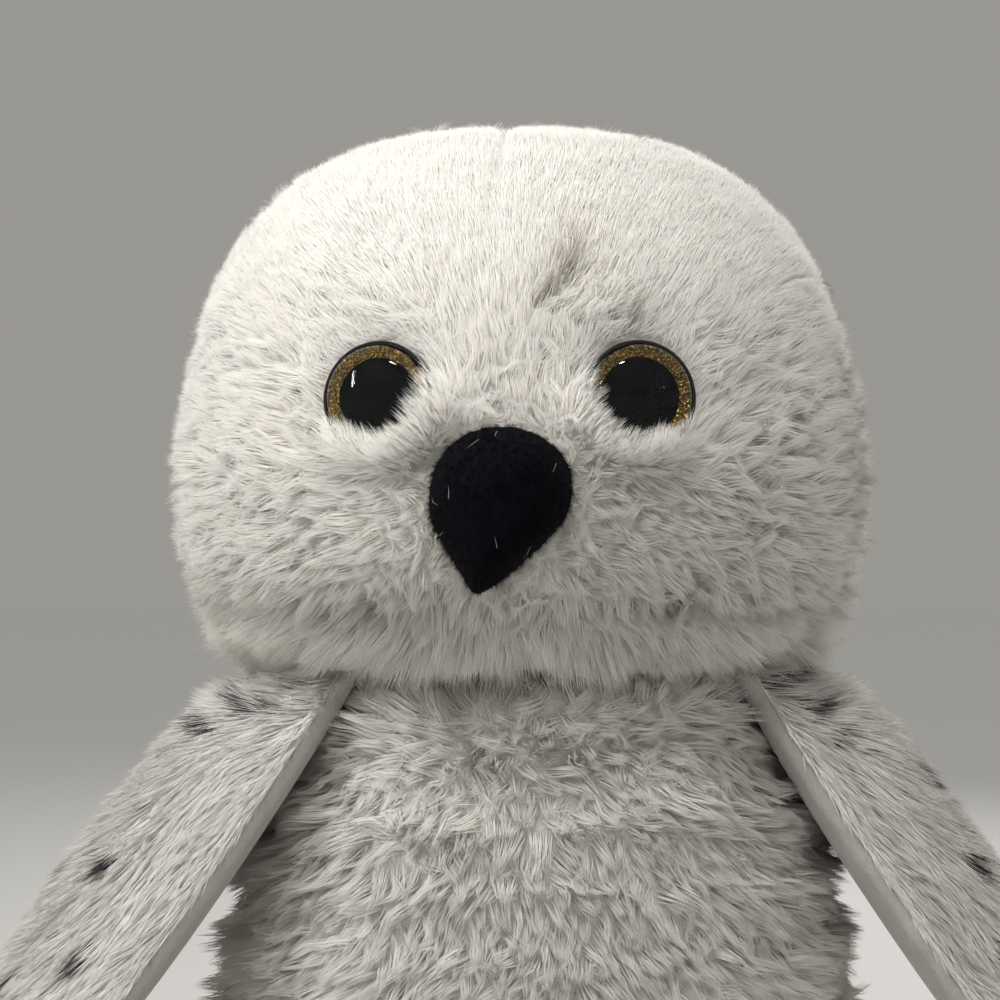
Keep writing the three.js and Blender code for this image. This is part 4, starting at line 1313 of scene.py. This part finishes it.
# %% Tail
def build_tail():
    """The tail: skin, lining and pile."""
    middle, normal = seam_plane("tail_cover", "tail_lining")
    root, run, across = limb_axes("tail_lift", middle, normal)
    form = soft_form("tail_form", ["tail_cover", "tail_lining", "tail_filling"], voxel=1.6, rounds=5)
    stuffed(form, cap=0.6 * MM)
    skin = cut_half(form, "tail_skin", middle, normal, 2.4 * MM)
    lining = cut_half(form, "tail_lining_cloth", middle, -normal, 0.4 * MM)
    bpy.data.objects.remove(form)
    axes = (root, run, across, normal)
    pile = grow_limb("tail", skin, axes, TAIL_DENSITY, TAIL_PILE, TAIL_LIFT)
    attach(pile, "tail")
    walled(skin, PILE_WALL, knit_backing_painted_shade, "tail", "white_pile", "tail_cover")
    walled(lining, LINING_WALL, grey_lining, "tail", "grey_lining", "tail_lining")
    return [skin, lining, pile]


tail = build_tail()


# %% Feet
def build_foot(side):
    """A foot of velour, with three stuffed toes."""
    body = f"{side}_foot"
    middle, normal = seam_plane(f"{body}_upper", f"{body}_sole")
    nodes = [f"{body}_upper", f"{body}_sole", f"{body}_filling"]
    form = soft_form(f"{body}_form", nodes, voxel=1.0, rounds=3)
    stuffed(form, cap=0.4 * MM)
    upper = cut_half(form, f"{body}_top", middle, normal, 0.2 * MM)
    sole = cut_half(form, f"{body}_under", middle, -normal, 0.2 * MM)
    bpy.data.objects.remove(form)
    walled(upper, LINING_WALL, black_velour, body, "black_velour", f"{body}_upper")
    walled(sole, LINING_WALL, black_velour, body, "black_velour", f"{body}_sole")
    return [upper, sole]


feet = {side: build_foot(side) for side in ("left", "right")}
print("limbs:", len(wings), "wings, a tail and", len(feet), "feet")

# %% [markdown]
# The body's pile comes last, because it has to lie flat under the wings.


# %% Grow the body pile
LIMB_ROOM = 9 * MM  # with a limb nearer than this before it, a lock lies flatter
LIMB_TOUCH = 1.6 * MM  # and nearer than this there is none


def grow_body():
    """All of the body's pile, in panels as the body is sewn."""
    roots, ups = scattered(body_skin, body_density)
    keep = np.ones(len(roots), bool)
    flat = np.ones(len(roots))
    for limb in (*wings.values(), tail, *feet.values()):
        for cloth in limb[:2]:
            low, high = places_of(cloth).min(0) - 8 * MM, places_of(cloth).max(0) + 8 * MM
            near = np.flatnonzero(((roots > low) & (roots < high)).all(1))
            room = room_above(roots[near], ups[near], tree_of(cloth), LIMB_ROOM)
            keep[near] &= room > LIMB_TOUCH
            flat[near] = np.minimum(flat[near], smoothstep(1.0 * MM, LIMB_ROOM, room))
    roots, ups, flat = roots[keep], ups[keep], flat[keep]
    look = body_look(roots)
    look["lift"] = look["lift"] * mix(0.15, 1.0, flat)
    lines = comb_locks(roots, ups, body_comb(roots), look, 26 * MM, 4)
    lines[:, :, 2] = np.maximum(lines[:, :, 2], 0.5 * MM)
    tones = random.uniform(*WHITE_TONES, len(roots))
    # painted shade: in the hollow under the chin, most locks take a darker tone
    tones = np.where(random.random(len(roots)) < 0.85 * throat_share(roots), THROAT_PAINTED_SHADE_TONE, tones)
    behind, left, high = roots[:, 1] > 0, roots[:, 0] > 0, roots[:, 2] > BELLY[0]
    part = np.select([behind & left, behind, high & left, high, left], [0, 1, 2, 3, 4], 5)
    names = ("back_left", "back_right", "chest_left", "chest_right", "belly_left", "belly_right")
    return pile_panels("body_pile", lines, look, tones, ups, part, names)


body_pile = grow_body()

# %% Seat the head and the body
SKIN_WALL = 1.2 * MM

for piece in head_pile:
    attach(piece, "head")
for piece in body_pile:
    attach(piece, "torso")
walled(head_skin, SKIN_WALL, knit_backing_painted_shade, "head", "white_pile", "head_cover")
walled(body_skin, SKIN_WALL, knit_backing_painted_shade, "torso", "white_pile", "body_cover")

# %% [markdown]
# ## Eyes
# Each eye is a black cup with a shank that goes through the cloth to a washer. In the cup lie a ring of
# gold glitter, a round black pupil and a clear dome. A turned piece starts as a disc, which is extruded
# and resized ring by ring along its profile.


# %% Turned pieces
def turned(name, profile, sides=64):
    """A closed round piece: a disc, extruded and resized along a profile of (radius, height) in mm."""
    clear_selection()
    radius, height = profile[0]
    place = (0, 0, height * MM)
    bpy.ops.mesh.primitive_circle_add(vertices=sides, radius=radius * MM, fill_type="NGON", location=place)
    piece = bpy.context.object
    piece.name = name
    bpy.ops.object.transform_apply(location=True, rotation=True, scale=True)
    bpy.ops.object.mode_set(mode="EDIT")
    bpy.ops.mesh.select_all(action="SELECT")
    for new_radius, new_height in profile[1:]:
        bpy.ops.mesh.extrude_region_move(TRANSFORM_OT_translate={"value": (0, 0, (new_height - height) * MM)})
        grow = new_radius / radius
        bpy.ops.transform.resize(value=(grow, grow, 1), center_override=(0, 0, new_height * MM))
        radius, height = new_radius, new_height
    bpy.ops.mesh.select_all(action="SELECT")
    bpy.ops.mesh.normals_make_consistent(inside=False)
    bpy.ops.object.mode_set(mode="OBJECT")
    bpy.ops.object.shade_smooth_by_angle(angle=math.radians(35))
    return piece


def seated(piece, side):
    """Turns a piece made round the Z axis into an eye's frame, and applies its place."""
    middle, axis = eyes[side]
    turn = Vector(axis).to_track_quat("Z", "Y")
    ready(piece)
    piece.matrix_world = Matrix.Translation(Vector(middle)) @ turn.to_matrix().to_4x4()
    bpy.ops.object.transform_apply(location=True, rotation=True, scale=True)
    return piece


def arc(start, end, steps):
    """Points on a quarter oval from start, upright there, to end, level there."""
    points = []
    for turn in np.linspace(0, math.pi / 2, steps):
        radius = end[0] + (start[0] - end[0]) * math.cos(turn)
        points.append((radius, start[1] + (end[1] - start[1]) * math.sin(turn)))
    return points


print("turning helpers ready")

# %% Eye finishes
GRAIN_SIZE = 0.3 * MM


def gloss_finish(name, dark, light, roughness, **numbers):
    """Moulded plastic: nearly even, with a faint cloud, and mostly with a smooth coat."""
    finish = Finish(name, Roughness=roughness, Coat_Roughness=0.03, **numbers)
    cloud = finish.speckle(3 * MM, detail=3.0)
    finish.feed("Base Color", finish.ramp(cloud, (0.3, dark), (0.7, light)))
    finish.feed("Roughness", cloud * 0.08 + (roughness - 0.04))
    return finish.material


def glitter_finish(name, dark, light, roughness, metal):
    """Gold flakes: metal, each spot of it its own shade."""
    finish = Finish(name, Metallic=metal, Roughness=roughness)
    inputs = {"Vector": finish.place(), "Scale": 1 / GRAIN_SIZE}
    grain = finish.node("ShaderNodeTexVoronoi", {"feature": "F1"}, inputs, 1)
    cloud = finish.speckle(0.35 * MM, detail=2.0)
    finish.feed("Base Color", finish.ramp(cloud * 0.6 + grain * 0.4, (0.25, dark), (0.75, light)))
    finish.feed("Roughness", cloud * 0.3 + (roughness - 0.1))
    return finish.material


def clear_finish():
    """Clear moulded plastic."""
    colour = (0.98, 0.98, 0.98, 1)
    finish = Finish("clear_lens", Roughness=0.0, IOR=1.22, Transmission_Weight=1.0, Base_Color=colour)
    ripple = finish.speckle(6 * MM, detail=1.0)
    finish.feed("Roughness", ripple * 0.02)
    return finish.material


cup_black = gloss_finish("cup_black", (0.004, 0.004, 0.005), (0.009, 0.009, 0.010), 0.22, Coat_Weight=0.4)
pupil_black = gloss_finish(
    "pupil_black", (0.003, 0.0045, 0.0045), (0.007, 0.010, 0.010), 0.5, Specular_IOR_Level=0.0
)
gold_base = glitter_finish("gold_base", (0.045, 0.024, 0.006), (0.17, 0.10, 0.025), 0.5, 0.3)
gold_flake = glitter_finish("gold_flake", (0.24, 0.14, 0.02), (0.85, 0.60, 0.14), 0.25, 0.85)
clear_lens = clear_finish()
white_plastic = gloss_finish(
    "white_plastic", (0.72, 0.72, 0.70), (0.80, 0.80, 0.78), 0.45, Coat_Weight=0.1
)
print("eye finishes ready")

# %% Eye pieces
CUP_PROFILE = (
    (2.0, -13.6), (2.5, -13.1), (2.5, -3.1), (3.2, -2.6), (11.4, -2.6), (11.85, -2.35), (12.0, -1.9),
    (12.0, 1.4), (11.9, 1.8), (11.6, 2.0), (11.3, 1.95), (11.1, 1.7), (11.0, -0.6), (0.5, -0.6),
)
IRIS_PROFILE = ((10.2, -0.3), (10.3, 0.1), (9.8, 0.3), (0.5, 0.3))
LENS_PROFILE = ((0.5, 1.7), (10.4, 1.7), (10.7, 2.0), *arc((10.7, 2.5), (0.4, 7.1), 16))
PUPIL_PROFILE = ((7.6, 0.6), (7.8, 0.75), *arc((7.8, 0.9), (0.3, 1.5), 7))
EYE_PIECES = {
    "cup": (CUP_PROFILE, cup_black, "black_gloss"),
    "iris": (IRIS_PROFILE, gold_base, "gold_glitter"),
    "pupil": (PUPIL_PROFILE, pupil_black, "black_gloss"),
    "lens": (LENS_PROFILE, clear_lens, "clear_lens"),
}
FLAKES = 1100
FLAKE_RADIUS = 0.15 * MM
FLAKE_RING = (7.9, 10.35)  # mm from the middle
FLAKE_HEIGHTS = (0.45, 0.95)  # mm above the iris
FLAKE_TILT = 0.33


def glitter_flakes(name):
    """A ring of loose six-sided flakes, each tilted its own way, over the iris between pupil and rim."""
    clear_selection()
    bpy.ops.mesh.primitive_cylinder_add(vertices=6, radius=1, depth=0.12, end_fill_type="NGON")
    flake = bpy.context.object
    places, faces = places_of(flake), [list(p.vertices) for p in flake.data.polygons]
    bpy.data.objects.remove(flake)
    angle, share = random.uniform(0, 2 * np.pi, FLAKES), random.random(FLAKES)
    away = np.sqrt(mix(FLAKE_RING[0] ** 2, FLAKE_RING[1] ** 2, share)) * MM
    height = random.uniform(*FLAKE_HEIGHTS, FLAKES) * MM
    middles = np.column_stack([away * np.cos(angle), away * np.sin(angle), height])
    sizes = FLAKE_RADIUS * random.uniform(0.5, 1.25, FLAKES)
    tilt = random.normal(0, FLAKE_TILT, (FLAKES, 2))
    up = unit(np.column_stack([tilt, np.ones(FLAKES)]))
    side = unit(np.cross(up, random.normal(0, 1, (FLAKES, 3))))
    other = np.cross(up, side)
    turns = np.stack([side, other, up], 1)
    corners = (middles[:, None] + (places @ turns) * sizes[:, None, None]).reshape(-1, 3)
    all_faces = []
    for number in range(FLAKES):
        all_faces += [[corner + number * len(places) for corner in face] for face in faces]
    mesh = bpy.data.meshes.new(name)
    mesh.from_pydata(corners.tolist(), [], all_faces)
    piece = bpy.data.objects.new(name, mesh)
    bpy.context.scene.collection.objects.link(piece)
    return piece


def build_eye(side):
    """Cup, iris with its flakes, pupil and dome of one eye."""
    made = []
    for part, (profile, finish, slot) in EYE_PIECES.items():
        piece = seated(turned(f"{side}_eye_{part}_piece", profile), side)
        piece.data.materials.append(finish)
        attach(piece, "head")
        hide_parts(f"{side}_eye_{part}")
        made.append(piece)
    flakes = seated(glitter_flakes(f"{side}_eye_glitter"), side)
    flakes.data.materials.append(gold_flake)
    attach(flakes, "head")
    return made + [flakes]


for side in eyes:
    print(side, "eye:", [o.name for o in build_eye(side)])

# %% [markdown]
# ## Inside and under
# The stuffing is loose white fibre pressed into each skin, so each lump of it is modelled as a soft, uneven
# form that fills its skin. The pellet bag is a small cotton cushion. The base panel is an oval of plain
# cloth with a soft edge. The washers that hold the eyes stay as the frame has them, in white plastic.


# %% Stuffing and bag
def inner_piece(name, node, body, voxel, lump, finish, shape=None):
    """A soft, uneven form in place of a node inside the skins."""
    piece = soft_form(name, [node], voxel, rounds=4)
    if shape:
        shape(piece)
    sink(piece, lump * (0.6 + cloudy(places_of(piece), 9 * MM, 4)[:, 0]))
    piece.data.materials.append(finish)
    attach(piece, body)
    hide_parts(node)
    return piece


inner = [
    inner_piece("body_stuffing", "body_filling", "torso", 3.2, 0.8 * MM, stuffing),
    inner_piece("head_stuffing", "head_filling", "head", 3.2, 0.8 * MM, stuffing),
    inner_piece("beak_stuffing", "beak_filling", "head", 1.1, 0.3 * MM, stuffing, lean_beak),
    inner_piece("tail_stuffing", "tail_filling", "tail", 1.2, 0.3 * MM, stuffing),
    inner_piece("pellet_cushion", "pellet_bag", "torso", 1.8, 0.4 * MM, pellet_cloth),
    inner_piece("base_cloth_panel", "base_panel", "torso", 1.3, 0.05 * MM, base_cloth),
]
for side in ("left", "right"):
    for limb, voxel in (("wing", 1.8), ("foot", 1.2)):
        name = f"{side}_{limb}"
        node = f"{name}_filling"
        inner.append(inner_piece(f"{name}_stuffing", node, name, voxel, 0.3 * MM, stuffing))
print("inner pieces:", [(o.name, len(o.data.polygons)) for o in inner])

# %% Washers
for side in ("left", "right"):
    washer = frame["nodes"][f"{side}_eye_washer"]
    washer.data.materials.clear()
    washer.data.materials.append(white_plastic)
print("washers in", white_plastic.name)
